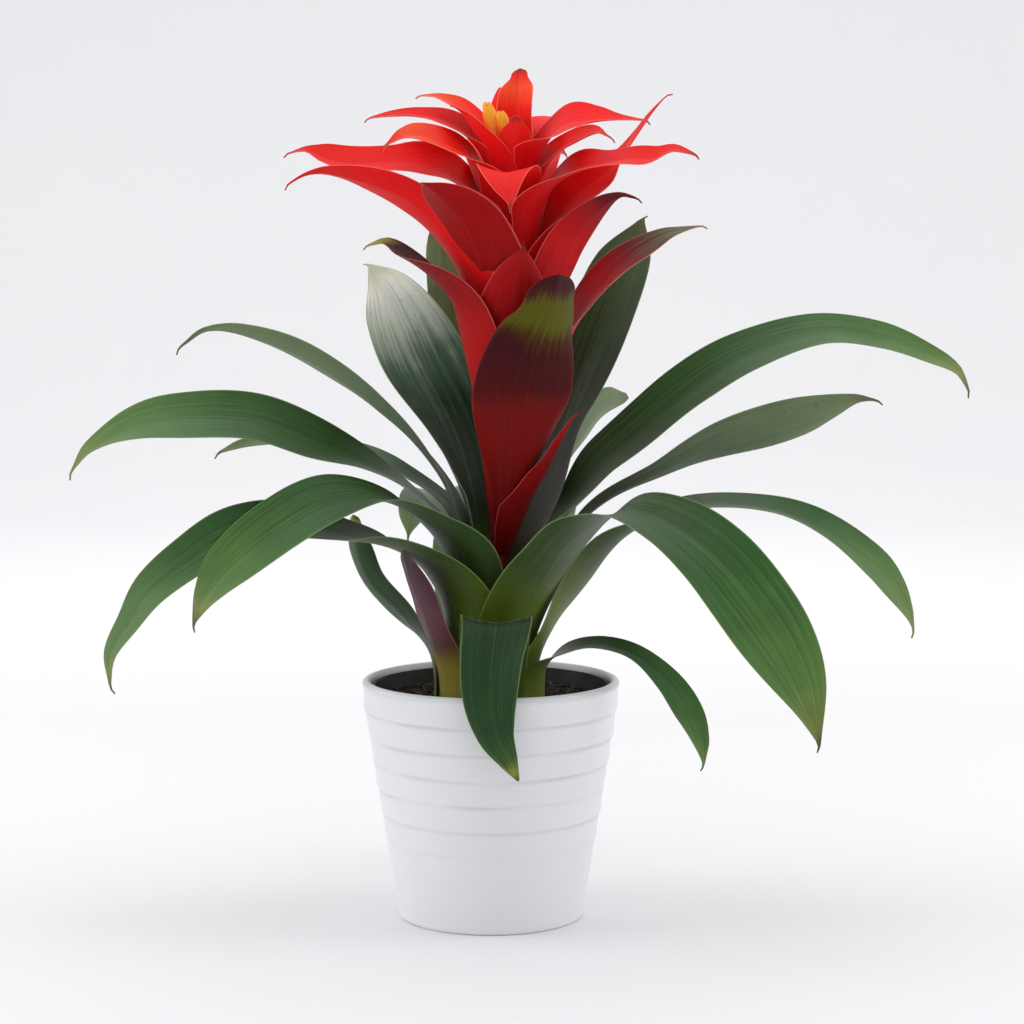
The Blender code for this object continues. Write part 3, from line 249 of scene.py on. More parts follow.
# One row for each bract: name, height on the stem above the soil, heading, and points as
# for a leaf, but with out measured from the stem's surface.
BRACTS = [
    ("bract_low_right", 0.080, -55, [
        (0.004, 0.094, 4, 0.020, 0), (0.009, 0.110, 20, 0.017, 0), (0.018, 0.133, 42, 0.014, -10),
        (0.027, 0.152, 51, 0.004, -15)]),
    ("bract_flame", 0.086, -67, [
        (0.006, 0.112, -1, 0.020, 4), (0.014, 0.140, -4, 0.034, 2), (0.021, 0.168, -5, 0.047, 0),
        (0.027, 0.191, 1, 0.049, 0), (0.032, 0.205, 6, 0.044, 5), (0.036, 0.214, 7, 0.036, 8)]),
    ("bract_low_left", 0.090, 212, [
        (0.004, 0.110, 0, 0.022, 0), (0.012, 0.152, 0, 0.029, 0), (0.019, 0.190, -2, 0.035, 0),
        (0.026, 0.214, -8, 0.034, 2), (0.038, 0.230, -26, 0.026, -2), (0.054, 0.241, -42, 0.018, -18),
        (0.066, 0.248, -47, 0.009, -24), (0.074, 0.247, -47, 0.003, -34)]),
    ("bract_low_right_long", 0.096, 20, [
        (0.004, 0.118, 0, 0.020, 0), (0.012, 0.150, 0, 0.024, -6), (0.026, 0.192, 0, 0.026, -14),
        (0.038, 0.215, 0, 0.026, 5), (0.054, 0.232, 0, 0.026, 18), (0.070, 0.244, 0, 0.021, 26),
        (0.084, 0.252, 0, 0.013, 28), (0.095, 0.255, 0, 0.007, 24), (0.104, 0.257, 0, 0.002, 18)]),
    ("bract_low_back", 0.100, 100, [
        (0.005, 0.130, 0, 0.024, 0), (0.016, 0.176, 0, 0.030, 0), (0.034, 0.212, 0, 0.028, 0),
        (0.054, 0.230, 0, 0.018, 0), (0.074, 0.236, 0, 0.003, 0)]),
    ("bract_mid_front", 0.110, -84, [
        (0.005, 0.140, 0, 0.030, 0), (0.011, 0.176, -4, 0.041, 0), (0.019, 0.206, -3, 0.041, 0),
        (0.024, 0.226, 0, 0.030, 0), (0.027, 0.238, 3, 0.015, 0), (0.028, 0.243, 4, 0.004, 0)]),
    ("bract_mid_right", 0.120, -20, [
        (0.005, 0.152, 0, 0.026, 0), (0.014, 0.206, 0, 0.033, -8), (0.025, 0.238, 0, 0.034, -18),
        (0.034, 0.255, 0, 0.028, -24), (0.046, 0.267, 0, 0.018, -20), (0.056, 0.272, 0, 0.007, -20),
        (0.063, 0.271, 0, 0.003, -26)]),
    ("bract_long_left_low", 0.126, 194, [
        (0.005, 0.156, 0, 0.026, 0), (0.013, 0.200, 0, 0.031, 4), (0.022, 0.234, 0, 0.033, 12),
        (0.037, 0.258, 0, 0.029, 24), (0.055, 0.272, 0, 0.026, 28), (0.076, 0.280, 0, 0.021, 27),
        (0.095, 0.284, 0, 0.013, 20), (0.106, 0.283, 0, 0.005, 22), (0.114, 0.279, 0, 0.002, 26)]),
    ("bract_mid_back_right", 0.132, 60, [
        (0.005, 0.164, 0, 0.024, 0), (0.014, 0.206, 0, 0.030, 0), (0.031, 0.244, 0, 0.029, 0),
        (0.054, 0.262, 0, 0.019, 0), (0.078, 0.266, 0, 0.003, 0)]),
    ("bract_mid_back_left", 0.138, 128, [
        (0.005, 0.170, 0, 0.024, 0), (0.013, 0.210, 0, 0.030, 0), (0.030, 0.248, 0, 0.029, 0),
        (0.052, 0.266, 0, 0.019, 0), (0.074, 0.270, 0, 0.003, 0)]),
    ("bract_front_left_cup", 0.148, 230, [
        (0.004, 0.174, 0, 0.028, 0), (0.012, 0.212, 0, 0.038, 0), (0.021, 0.238, 0, 0.044, 0),
        (0.032, 0.256, 0, 0.044, 3), (0.045, 0.268, -2, 0.036, 5), (0.055, 0.275, -3, 0.018, 8),
        (0.060, 0.277, -3, 0.005, 10)]),
    ("bract_right_swept", 0.154, 2, [
        (0.004, 0.180, 0, 0.024, 0), (0.009, 0.228, 0, 0.028, 0), (0.017, 0.255, 0, 0.031, 14),
        (0.030, 0.273, 0, 0.032, 34), (0.044, 0.284, 0, 0.028, 36), (0.053, 0.293, 0, 0.022, 12),
        (0.062, 0.306, 0, 0.016, -4), (0.070, 0.317, 0, 0.008, -5), (0.076, 0.324, 0, 0.002, 0)]),
    ("bract_high_back", 0.160, 88, [
        (0.004, 0.190, 0, 0.022, 0), (0.011, 0.232, 0, 0.028, 0), (0.026, 0.266, 0, 0.028, 0),
        (0.048, 0.282, 0, 0.018, 0), (0.070, 0.282, 0, 0.003, 0)]),
    ("bract_long_left", 0.170, 184, [
        (0.004, 0.196, 0, 0.024, 0), (0.010, 0.254, 3, 0.030, 0), (0.023, 0.279, 4, 0.032, -20),
        (0.042, 0.289, 4, 0.031, -32), (0.059, 0.290, 4, 0.028, -29), (0.081, 0.289, 4, 0.028, -34),
        (0.097, 0.293, 4, 0.018, -38), (0.105, 0.296, 4, 0.007, -30), (0.112, 0.295, 4, 0.002, -22)]),
    ("bract_long_right", 0.178, -26, [
        (0.004, 0.204, 0, 0.024, 0), (0.009, 0.254, 0, 0.029, 0), (0.018, 0.276, 0, 0.032, 14),
        (0.033, 0.286, 0, 0.030, 28), (0.048, 0.289, 0, 0.024, 24), (0.064, 0.291, 0, 0.022, 26),
        (0.077, 0.291, 0, 0.018, 32), (0.088, 0.295, 0, 0.009, 31), (0.098, 0.293, 0, 0.003, 32)]),
    ("bract_high_back_right", 0.184, 64, [
        (0.004, 0.210, 0, 0.020, 0), (0.010, 0.254, 0, 0.026, 0), (0.022, 0.284, 0, 0.026, 0),
        (0.042, 0.297, 0, 0.018, 0), (0.060, 0.298, 0, 0.003, 0)]),
    ("bract_high_back_left", 0.190, 120, [
        (0.004, 0.216, 0, 0.020, 0), (0.009, 0.260, 0, 0.026, 0), (0.021, 0.290, 0, 0.026, 0),
        (0.043, 0.303, 0, 0.018, 0), (0.066, 0.303, 0, 0.003, 0)]),
    ("bract_front_folded", 0.198, -91, [
        (0.003, 0.226, 0, 0.020, 0), (0.008, 0.260, 0, 0.025, 0), (0.018, 0.280, -3, 0.031, 0),
        (0.030, 0.284, -4, 0.031, 0), (0.040, 0.277, -2, 0.018, 0), (0.044, 0.268, 0, 0.004, 0)]),
    ("bract_top_left_low", 0.206, 205, [
        (0.004, 0.232, 0, 0.022, 0), (0.009, 0.272, 0, 0.026, 0), (0.019, 0.291, 0, 0.028, -22),
        (0.033, 0.299, 0, 0.027, -32), (0.048, 0.303, 0, 0.022, -34), (0.058, 0.303, 0, 0.011, -30),
        (0.066, 0.299, 0, 0.003, -24)]),
    ("bract_top_right_low", 0.212, 10, [
        (0.004, 0.238, 0, 0.020, 0), (0.008, 0.274, 0, 0.025, 0), (0.017, 0.294, 0, 0.026, 10),
        (0.029, 0.302, 0, 0.023, 16), (0.041, 0.307, 0, 0.014, 20), (0.047, 0.305, 0, 0.003, 24)]),
    ("bract_top_left", 0.220, 170, [
        (0.004, 0.246, 0, 0.020, 0), (0.008, 0.286, 0, 0.024, 0), (0.018, 0.304, 0, 0.025, -10),
        (0.032, 0.313, 0, 0.024, -20), (0.047, 0.316, 0, 0.016, -22), (0.061, 0.316, 0, 0.009, -24),
        (0.071, 0.315, 0, 0.003, -26)]),
    ("bract_top_right", 0.226, -24, [
        (0.004, 0.250, 0, 0.022, 0), (0.008, 0.284, 0, 0.029, 0), (0.015, 0.301, 0, 0.032, 20),
        (0.027, 0.310, 0, 0.031, 34), (0.042, 0.312, 0, 0.021, 30), (0.055, 0.312, 0, 0.009, 26),
        (0.069, 0.311, 0, 0.002, 24)]),
    ("bract_top_back_right", 0.232, 56, [
        (0.004, 0.256, 0, 0.018, 0), (0.008, 0.288, 0, 0.023, 0), (0.020, 0.308, 0, 0.024, 0),
        (0.038, 0.316, 0, 0.016, 0), (0.056, 0.314, 0, 0.003, 0)]),
    ("bract_crown_left", 0.238, 158, [
        (0.004, 0.262, 0, 0.018, 0), (0.007, 0.294, 0, 0.019, 0), (0.014, 0.310, 0, 0.022, 0),
        (0.027, 0.321, 0, 0.019, -10), (0.038, 0.326, 0, 0.009, -18), (0.046, 0.327, 0, 0.003, -18)]),
    ("bract_crown_back", 0.244, 94, [
        (0.004, 0.268, 0, 0.018, 0), (0.007, 0.296, 0, 0.022, 0), (0.016, 0.318, 0, 0.020, 0),
        (0.028, 0.330, 0, 0.012, 0), (0.038, 0.332, 0, 0.003, 0)]),
    ("bract_cup_front_left", 0.250, 224, [
        (0.004, 0.272, 0, 0.014, 0), (0.010, 0.292, -4, 0.020, 0), (0.016, 0.305, -12, 0.017, 0),
        (0.022, 0.314, -20, 0.009, 0), (0.025, 0.317, -22, 0.004, 0)]),
    ("bract_cup_front", 0.254, -66, [
        (0.005, 0.274, -10, 0.016, 0), (0.009, 0.292, -16, 0.022, 0), (0.012, 0.304, -18, 0.018, 0),
        (0.014, 0.310, -18, 0.008, 0)]),
    ("bract_crown_upright", 0.258, 60, [
        (0.003, 0.278, 2, 0.018, 0), (0.005, 0.298, 8, 0.022, 0), (0.007, 0.315, 12, 0.025, -4),
        (0.010, 0.329, 16, 0.021, -10), (0.012, 0.336, 16, 0.011, -14)]),
]

# One row for each flower: name, foot and tip as (x and y from the stem's axis, height above the soil).
FLOWERS = [
    ("flower_left", (-0.0030, -0.0030, 0.276), (-0.0130, -0.006, 0.3185)),
    ("flower_right", (0.0025, -0.0030, 0.276), (-0.0060, -0.008, 0.3160)),
    ("flower_bud", (0.0, 0.0032, 0.276), (-0.0135, 0.003, 0.3215)),
]


def srgb(red, green, blue):
    """A screen colour, 0 to 255, as linear light."""
    made = []
    for value in (red, green, blue):
        share = value / 255
        made.append(share / 12.92 if share <= 0.04045 else ((share + 0.055) / 1.055) ** 2.4)
    return tuple(made)


# One row for each blade finish: colours along the upper side from foot to tip, how much paler the underside
# is, the edge colour that also paints highlights, how strong the streaks are, roughness, shine and glow.
BLADE_LOOKS = {
    "leaf_green": {
        "along": [(0.0, (124, 138, 34)), (0.16, (92, 112, 18)), (0.28, (36, 56, 10)), (0.42, (28, 62, 20)),
                  (0.70, (46, 90, 36)), (0.90, (84, 120, 58)), (0.97, (122, 134, 66)), (1.0, (86, 58, 38))],
        "under": (66, 88, 34), "under_share": 0.40, "margin_and_highlight": (122, 148, 84),
        "streaks": 0.55, "roughness": 0.34, "shine": 0.24, "glow": 0.03},
    "leaf_deep": {
        "along": [(0.0, (110, 124, 30)), (0.20, (60, 80, 14)), (0.36, (20, 48, 10)), (0.64, (18, 58, 14)),
                  (0.84, (26, 62, 24)), (0.93, (58, 92, 34)), (0.98, (150, 156, 64)), (1.0, (96, 76, 44))],
        "under": (44, 70, 26), "under_share": 0.3, "margin_and_highlight": (104, 134, 70),
        "streaks": 0.35, "roughness": 0.30, "shine": 0.28, "glow": 0.02},
    # The pale grey-green towards the tip is partly the blades' own colour and partly painted sheen from the
    # white surroundings.
    "leaf_grey": {
        "along": [(0.0, (96, 108, 32)), (0.16, (44, 34, 22)), (0.36, (44, 58, 38)), (0.60, (70, 92, 62)),
                  (0.93, (112, 132, 84)), (1.0, (90, 66, 44))],
        "under": (112, 130, 96), "under_share": 0.35, "margin_and_highlight": (132, 146, 100),
        "streaks": 0.6, "roughness": 0.40, "shine": 0.2, "glow": 0.03},
    "leaf_dark_foot": {
        "along": [(0.0, (80, 84, 28)), (0.14, (30, 26, 16)), (0.46, (26, 30, 20)), (0.60, (76, 92, 70)),
                  (0.93, (116, 136, 92)), (1.0, (90, 66, 44))],
        "under": (90, 104, 80), "under_share": 0.3, "margin_and_highlight": (132, 146, 100),
        "streaks": 0.6, "roughness": 0.38, "shine": 0.2, "glow": 0.03},
    # The near-white stops towards the tip are painted sheen: the white surroundings reflected in the glossy
    # upper side.
    "leaf_pale_top": {
        "along": [(0.0, (130, 146, 34)), (0.28, (96, 114, 18)), (0.42, (24, 46, 12)), (0.62, (28, 56, 32)),
                  (0.73, (80, 114, 92)), (0.82, (190, 214, 196)), (0.92, (232, 244, 234)),
                  (1.0, (176, 188, 134))],
        "under": (128, 150, 122), "under_share": 0.35, "margin_and_highlight": (156, 172, 128),
        "streaks": 0.5, "roughness": 0.36, "shine": 0.2, "glow": 0.04},
    "leaf_dark": {
        "along": [(0.0, (124, 138, 34)), (0.20, (72, 76, 20)), (0.36, (40, 34, 20)), (0.66, (32, 48, 24)),
                  (0.92, (60, 88, 48)), (1.0, (90, 66, 44))],
        "under": (66, 84, 46), "under_share": 0.35, "margin_and_highlight": (112, 120, 84),
        "streaks": 0.6, "roughness": 0.36, "shine": 0.2, "glow": 0.03},
    "leaf_purple": {
        "along": [(0.0, (146, 150, 60)), (0.26, (150, 136, 34)), (0.38, (84, 44, 26)), (0.52, (86, 14, 46)),
                  (0.80, (64, 14, 38)), (0.92, (40, 26, 28)), (1.0, (60, 30, 34))],
        "under": (76, 46, 52), "under_share": 0.35, "margin_and_highlight": (128, 96, 90),
        "streaks": 0.5, "roughness": 0.38, "shine": 0.2, "glow": 0.02},
    "bract_bright": {
        "along": [(0.0, (140, 4, 8)), (0.40, (204, 6, 10)), (0.75, (246, 18, 20)), (0.94, (246, 48, 42)),
                  (1.0, (110, 50, 50))],
        "under": (236, 30, 34), "under_share": 0.5, "margin_and_highlight": (255, 130, 124),
        "streaks": 0.16, "roughness": 0.40, "shine": 0.1, "glow": 0.12},
    "bract_orange": {
        "along": [(0.0, (160, 6, 8)), (0.45, (226, 12, 12)), (0.72, (250, 30, 22)), (0.88, (252, 84, 44)),
                  (0.96, (246, 40, 34)), (1.0, (150, 60, 48))],
        "under": (246, 44, 36), "under_share": 0.5, "margin_and_highlight": (255, 160, 130),
        "streaks": 0.16, "roughness": 0.40, "shine": 0.1, "glow": 0.14},
    "bract_deep": {
        "along": [(0.0, (88, 2, 3)), (0.40, (128, 2, 3)), (0.75, (176, 4, 6)), (0.94, (204, 18, 22)),
                  (1.0, (84, 42, 44))],
        "under": (140, 8, 10), "under_share": 0.5, "margin_and_highlight": (230, 104, 100),
        "streaks": 0.22, "roughness": 0.42, "shine": 0.1, "glow": 0.08},
    "bract_dark_tip": {
        "along": [(0.0, (110, 4, 6)), (0.35, (180, 6, 8)), (0.72, (220, 12, 14)), (0.83, (170, 12, 20)),
                  (0.90, (54, 12, 22)), (0.96, (70, 44, 40)), (1.0, (90, 80, 56))],
        "under": (150, 22, 32), "under_share": 0.35, "margin_and_highlight": (206, 100, 98),
        "streaks": 0.4, "roughness": 0.42, "shine": 0.1, "glow": 0.06},
    "bract_green_tip": {
        "along": [(0.0, (120, 6, 8)), (0.40, (186, 22, 26)), (0.68, (182, 34, 40)), (0.78, (116, 34, 40)),
                  (0.86, (88, 84, 66)), (0.95, (110, 120, 94)), (1.0, (80, 80, 70))],
        "under": (186, 66, 72), "under_share": 0.45, "margin_and_highlight": (214, 140, 130),
        "streaks": 0.9, "roughness": 0.44, "shine": 0.1, "glow": 0.05},
    "bract_lime_tip": {
        "along": [(0.0, (110, 4, 6)), (0.34, (166, 8, 8)), (0.56, (170, 10, 12)), (0.66, (110, 12, 18)),
                  (0.76, (44, 12, 20)), (0.90, (64, 30, 34)), (0.96, (160, 164, 70)), (1.0, (150, 150, 60))],
        "under": (190, 20, 22), "under_share": 0.4, "margin_and_highlight": (206, 110, 100),
        "streaks": 0.4, "roughness": 0.42, "shine": 0.08, "glow": 0.05},
    "bract_flame": {
        "along": [(0.0, (96, 4, 4)), (0.36, (128, 6, 2)), (0.50, (118, 6, 4)), (0.57, (60, 4, 8)),
                  (0.72, (34, 2, 10)), (0.76, (50, 40, 4)), (0.81, (76, 98, 4)), (0.88, (78, 96, 8)),
                  (0.92, (52, 30, 22)), (0.95, (34, 8, 24)), (1.0, (30, 12, 22))],
        "under": (112, 14, 16), "under_share": 0.2, "margin_and_highlight": (140, 44, 36),
        "streaks": 0.5, "roughness": 0.38, "shine": 0.12, "glow": 0.04},
}

# The finish of each blade that isn't leaf_green or bract_bright.
BLADE_FINISH = {
    "leaf_left_upright": "leaf_pale_top", "leaf_right_upright": "leaf_dark",
    "leaf_back_short": "leaf_grey", "leaf_left_slender": "leaf_grey", "leaf_back_upright": "leaf_grey",
    "leaf_front_over_rim": "leaf_deep", "leaf_left_small": "leaf_deep",
    "leaf_right_spatulate": "leaf_dark_foot", "leaf_purple_stub": "leaf_purple",
    "bract_flame": "bract_flame", "bract_low_left": "bract_lime_tip",
    "bract_mid_right": "bract_dark_tip", "bract_low_right_long": "bract_green_tip",
    "bract_low_right": "bract_deep", "bract_low_back": "bract_deep", "bract_mid_front": "bract_deep",
    "bract_mid_back_right": "bract_deep", "bract_mid_back_left": "bract_deep",
    "bract_front_left_cup": "bract_deep", "bract_top_left_low": "bract_orange",
    "bract_crown_left": "bract_orange", "bract_crown_upright": "bract_orange",
}


# Settings ---------------------------------------------------------------------------------

def length_setting(label, words, default):
    """A length that a user can change."""
    return bpy.props.FloatProperty(name=label, description=words, default=default, unit="LENGTH", precision=5)


def colour_setting(label, words, default):
    """A colour that a user can change."""
    return bpy.props.FloatVectorProperty(
        name=label, description=words, default=default, subtype="COLOR", size=3, min=0.0, max=1.0)


def count_setting(label, words, default):
    """A whole number that a user can change."""
    return bpy.props.IntProperty(name=label, description=words, default=default, min=0)


def share_setting(label, words, default):
    """A share from 0 to 1 that a user can change."""
    return bpy.props.FloatProperty(
        name=label, description=words, default=default, subtype="FACTOR", min=0.0, max=1.0)


class PotSettings(bpy.types.PropertyGroup):
    """The cover pot's bands and glaze."""

    glaze: colour_setting("Glaze", "Colour of the pot's glaze", srgb(232, 232, 234))
    band_pitch: length_setting("Band pitch", "Height of one band", 0.0142)
    band_depth: length_setting("Band depth", "How far a band's lower edge stands out", 0.0012)
    top_line: length_setting("Top line", "Height of the line under the rim band", 0.1135)
    low_line: length_setting("Lowest line", "Height where the bands fade out", 0.040)
    unevenness: length_setting("Unevenness", "How far a line wanders up and down", 0.0022)
    fade: share_setting("Fade", "How much a band's depth changes round the pot", 0.8)


class SoilSettings(bpy.types.PropertyGroup):
    """The bark mix on top of the pot."""

    bark: colour_setting("Bark", "Colour of the darker bark", srgb(22, 15, 12))
    chip: colour_setting("Chips", "Colour of the lighter chips", srgb(104, 66, 48))
    fibre: colour_setting("Fibres", "Colour of the dry fibres", srgb(146, 124, 98))
    chip_length: length_setting("Chip length", "Length of a large chip", 0.0050)
    chips: count_setting("Chips per square metre", "How many chips lie on the soil", 130000)
    fibres: count_setting("Fibres per square metre", "How many fibres lie on the soil", 16000)
    seed: count_setting("Seed", "Pattern of the chips", 7)


class LeafSettings(bpy.types.PropertyGroup):
    """The green leaves."""

    thickness: length_setting("Thickness", "Thickness at the midrib", 0.0009)
    crease: length_setting("Crease", "Depth of the fold along the midrib", 0.0006)
    ruffle: length_setting("Ruffle", "How far the margins wave", 0.0009)
    hook: length_setting("Hook", "Length of the dry hook at the tip", 0.0075)
    fullness: share_setting("Fullness", "How much broader the lower parts are", 0.50)
    stations: count_setting("Sections", "Sections along a leaf", 96)
    columns: count_setting("Columns", "Strips across a leaf", 14)


class BractSettings(bpy.types.PropertyGroup):
    """The red bracts."""

    thickness: length_setting("Thickness", "Thickness at the midrib", 0.0008)
    crease: length_setting("Crease", "Depth of the fold along the midrib", 0.0008)
    ruffle: length_setting("Ruffle", "How far the margins wave", 0.0008)
    hook: length_setting("Hook", "Length of the dry hook at the tip", 0.0060)
    fullness: share_setting("Fullness", "How much broader the lower halves are", 0.45)
    stations: count_setting("Sections", "Sections along a bract", 72)
    columns: count_setting("Columns", "Strips across a bract", 14)


class FlowerSettings(bpy.types.PropertyGroup):
    """The yellow flower tips."""

    petal: colour_setting("Petal", "Colour of the petals' tips", srgb(255, 174, 12))
    foot: colour_setting("Foot", "Colour of the flowers' lower half", srgb(238, 110, 40))
    radius: length_setting("Radius", "Radius at the widest place", 0.0036)


class StageSettings(bpy.types.PropertyGroup):
    """The floor, lights and camera."""

    floor: colour_setting("Floor", "Colour of the floor and wall", srgb(236, 236, 238))
    lens: bpy.props.FloatProperty(name="Lens", description="Focal length in millimetres", default=89.0)
    left_power: bpy.props.FloatProperty(
        name="Left lamp", description="Power of the left lamp", default=9.0, unit="POWER")
    right_power: bpy.props.FloatProperty(
        name="Right lamp", description="Power of the right lamp", default=7.5, unit="POWER")
    top_power: bpy.props.FloatProperty(
        name="Top lamp", description="Power of the lamp overhead", default=12.5, unit="POWER")
    wall_power: bpy.props.FloatProperty(
        name="Wall lamp", description="Power of the lamp that lights the wall", default=27.0, unit="POWER")


# Node trees -------------------------------------------------------------------------------

def put(tree, kind, settings=None, inputs=None):
    """Adds a node, with its settings, and its inputs as values or as links from other sockets."""
    made = tree.nodes.new(kind)
    for name, value in (settings or {}).items():
        setattr(made, name, value)
    for name, value in (inputs or {}).items():
        if isinstance(value, bpy.types.NodeSocket):
            tree.links.new(value, made.inputs[name])
        else:
            made.inputs[name].default_value = value
    return made


def maths(tree, operation, *values):
    """The result of one sum on sockets or numbers."""
    made = put(tree, "ShaderNodeMath", {"operation": operation}, dict(enumerate(values)))
    return made.outputs[0]


def spread(tree, value, low, high, start, end):
    """A value taken from one range to another, held at its ends."""
    made = put(tree, "ShaderNodeMapRange", inputs={
        "Value": value, "From Min": low, "From Max": high, "To Min": start, "To Max": end})
    return made.outputs[0]


def mixed(tree, share, first, second, blend="MIX"):
    """Two colours mixed by a share."""
    made = put(tree, "ShaderNodeMix", {"data_type": "RGBA", "blend_type": blend, "clamp_factor": True})
    for socket, value in ((0, share), (6, first), (7, second)):
        if isinstance(value, bpy.types.NodeSocket):
            tree.links.new(value, made.inputs[socket])
        elif socket == 0:
            made.inputs[0].default_value = value
        else:
            made.inputs[socket].default_value = (*value, 1.0)
    return made.outputs[2]


def vector_maths(tree, operation, first, second):
    """The result of one sum on vectors; SCALE takes a number as its second value."""
    socket = "Scale" if operation == "SCALE" else 1
    made = put(tree, "ShaderNodeVectorMath", {"operation": operation}, {0: first, socket: second})
    return made.outputs[0]


def carried(tree, name):
    """The number that a surface carries under a name."""
    return put(tree, "ShaderNodeAttribute", {"attribute_name": name}).outputs["Fac"]


def noise(tree, place, scale, detail=3.0, roughness=0.5):
    """A soft noise from 0 to 1 at a place."""
    made = put(tree, "ShaderNodeTexNoise", inputs={
        "Vector": place, "Scale": scale, "Detail": detail, "Roughness": roughness})
    return made.outputs[0]


def ramp(tree, value, stops):
    """A colour read along a row of (share, screen colour) stops."""
    made = put(tree, "ShaderNodeValToRGB", inputs={0: value})
    bands = made.color_ramp.elements
    while len(bands) < len(stops):
        bands.new(0.5)
    for band, (share, colour) in zip(bands, stops):
        band.position = share
        band.color = (*srgb(*colour), 1.0)
    return made.outputs[0]


def new_material(name, roughness):
    """A material with its tree, its shader and the object's own coordinates."""
    made = bpy.data.materials.new(name)
    made.use_nodes = True
    tree = made.node_tree
    shader = tree.nodes["Principled BSDF"]
    shader.inputs["Roughness"].default_value = roughness
    place = put(tree, "ShaderNodeTexCoord").outputs["Object"]
    return made, tree, shader, place


def bumped(tree, shader, height, depth, strength=1.0):
    """Joins a height to the shader as a bump of that depth in metres."""
    made = put(tree, "ShaderNodeBump", inputs={"Height": height, "Distance": depth, "Strength": strength})
    tree.links.new(made.outputs[0], shader.inputs["Normal"])


def lengthwise(tree, across, along, piece, cells):
    """A place for noise whose cells are drawn out along the blade."""
    made = put(tree, "ShaderNodeCombineXYZ", inputs={
        0: maths(tree, "MULTIPLY", across, cells[0]), 1: maths(tree, "MULTIPLY", along, cells[1]), 2: piece})
    return made.outputs[0]


def blade_material(name):
    """A leaf's or bract's skin: colour along the blade, lengthwise streaks, pale edges that also carry
    painted highlights, and underside.
    """
    look = BLADE_LOOKS[name]
    made, tree, shader, place = new_material(name, look["roughness"])
    blade = put(tree, "ShaderNodeSeparateXYZ", inputs={
        0: put(tree, "ShaderNodeUVMap", {"uv_map": "blade"}).outputs[0]})
    across, along = blade.outputs[0], blade.outputs[1]
    piece = carried(tree, "piece")
    underside = carried(tree, "underside")
    streak = noise(tree, lengthwise(tree, across, along, piece, VEIN_CELLS), 1.0, 4.0, 0.6)
    fine = noise(tree, lengthwise(tree, across, along, piece, FINE_VEIN_CELLS), 1.0, 2.0)
    cloud = noise(tree, place, 38.0, 3.0)
    wander = maths(tree, "ADD", maths(tree, "MULTIPLY", maths(tree, "SUBTRACT", streak, 0.5), 0.16),
                   maths(tree, "MULTIPLY", maths(tree, "SUBTRACT", cloud, 0.5), 0.10))
    colour = ramp(tree, maths(tree, "ADD", along, wander), look["along"])
    # Pale streaks in the edge colour: the blades' own lighter veins, and on the bracts partly a painted
    # highlight.
    light_streak = spread(tree, streak, 0.50, 0.78, 0.0, 0.30 * look["streaks"])
    colour = mixed(tree, light_streak, colour, srgb(*look["margin_and_highlight"]))
    dark_streak = spread(tree, streak, 0.50, 0.30, 0.0, 0.75 * look["streaks"])
    colour = mixed(tree, dark_streak, colour, (0.45, 0.45, 0.45), "MULTIPLY")
    colour = mixed(tree, spread(tree, fine, 0.35, 0.7, 0.0, 0.25), colour, (0.72, 0.76, 0.70), "MULTIPLY")
    colour = mixed(tree, spread(tree, cloud, 0.35, 0.7, 0.0, 0.35), colour, (1.3, 1.3, 1.25), "MULTIPLY")
    from_midrib = maths(tree, "ABSOLUTE", maths(tree, "SUBTRACT", across, 0.5))
    colour = mixed(tree, spread(tree, from_midrib, 0.018, 0.0, 0.0, 0.12), colour, srgb(*look["margin_and_highlight"]))
    paler = spread(tree, along, 0.15, 0.6, 0.1, look["under_share"])
    below = mixed(tree, paler, colour, srgb(*look["under"]))
    colour = mixed(tree, underside, colour, below)
    # The edge: the blade's own paler rim, with a painted highlight along it.
    edge = spread(tree, maths(tree, "ADD", from_midrib, maths(tree, "MULTIPLY", fine, 0.012)),
                  0.488, 0.502, 0.0, 0.8)
    colour = mixed(tree, edge, colour, srgb(*look["margin_and_highlight"]))
    spots = noise(tree, place, 210.0, 2.0)
    worn = maths(tree, "MULTIPLY", spread(tree, spots, 0.68, 0.74, 0.0, look["streaks"]),
                 spread(tree, along, 0.55, 0.95, 0.1, 0.8))
    colour = mixed(tree, worn, colour, srgb(92, 70, 46))
    tree.links.new(colour, shader.inputs["Base Color"])
    uneven = spread(tree, streak, 0.3, 0.7, look["roughness"] - 0.07, look["roughness"] + 0.07)
    rough = maths(tree, "ADD", uneven, maths(tree, "MULTIPLY", underside, 0.12))
    tree.links.new(rough, shader.inputs["Roughness"])
    shader.inputs["Specular IOR Level"].default_value = look["shine"]
    shader.inputs["Sheen Weight"].default_value = look["shine"] * 0.6
    shader.inputs["Sheen Roughness"].default_value = 0.4
    shader.inputs["Subsurface Weight"].default_value = look["glow"]
    shader.inputs["Subsurface Radius"].default_value = (0.002, 0.001, 0.0005)
    shader.inputs["Subsurface Scale"].default_value = 1.0
    relief = maths(tree, "ADD", streak, maths(tree, "MULTIPLY", fine, 0.6))
    bumped(tree, shader, relief, 0.00035, 0.8)
    return made


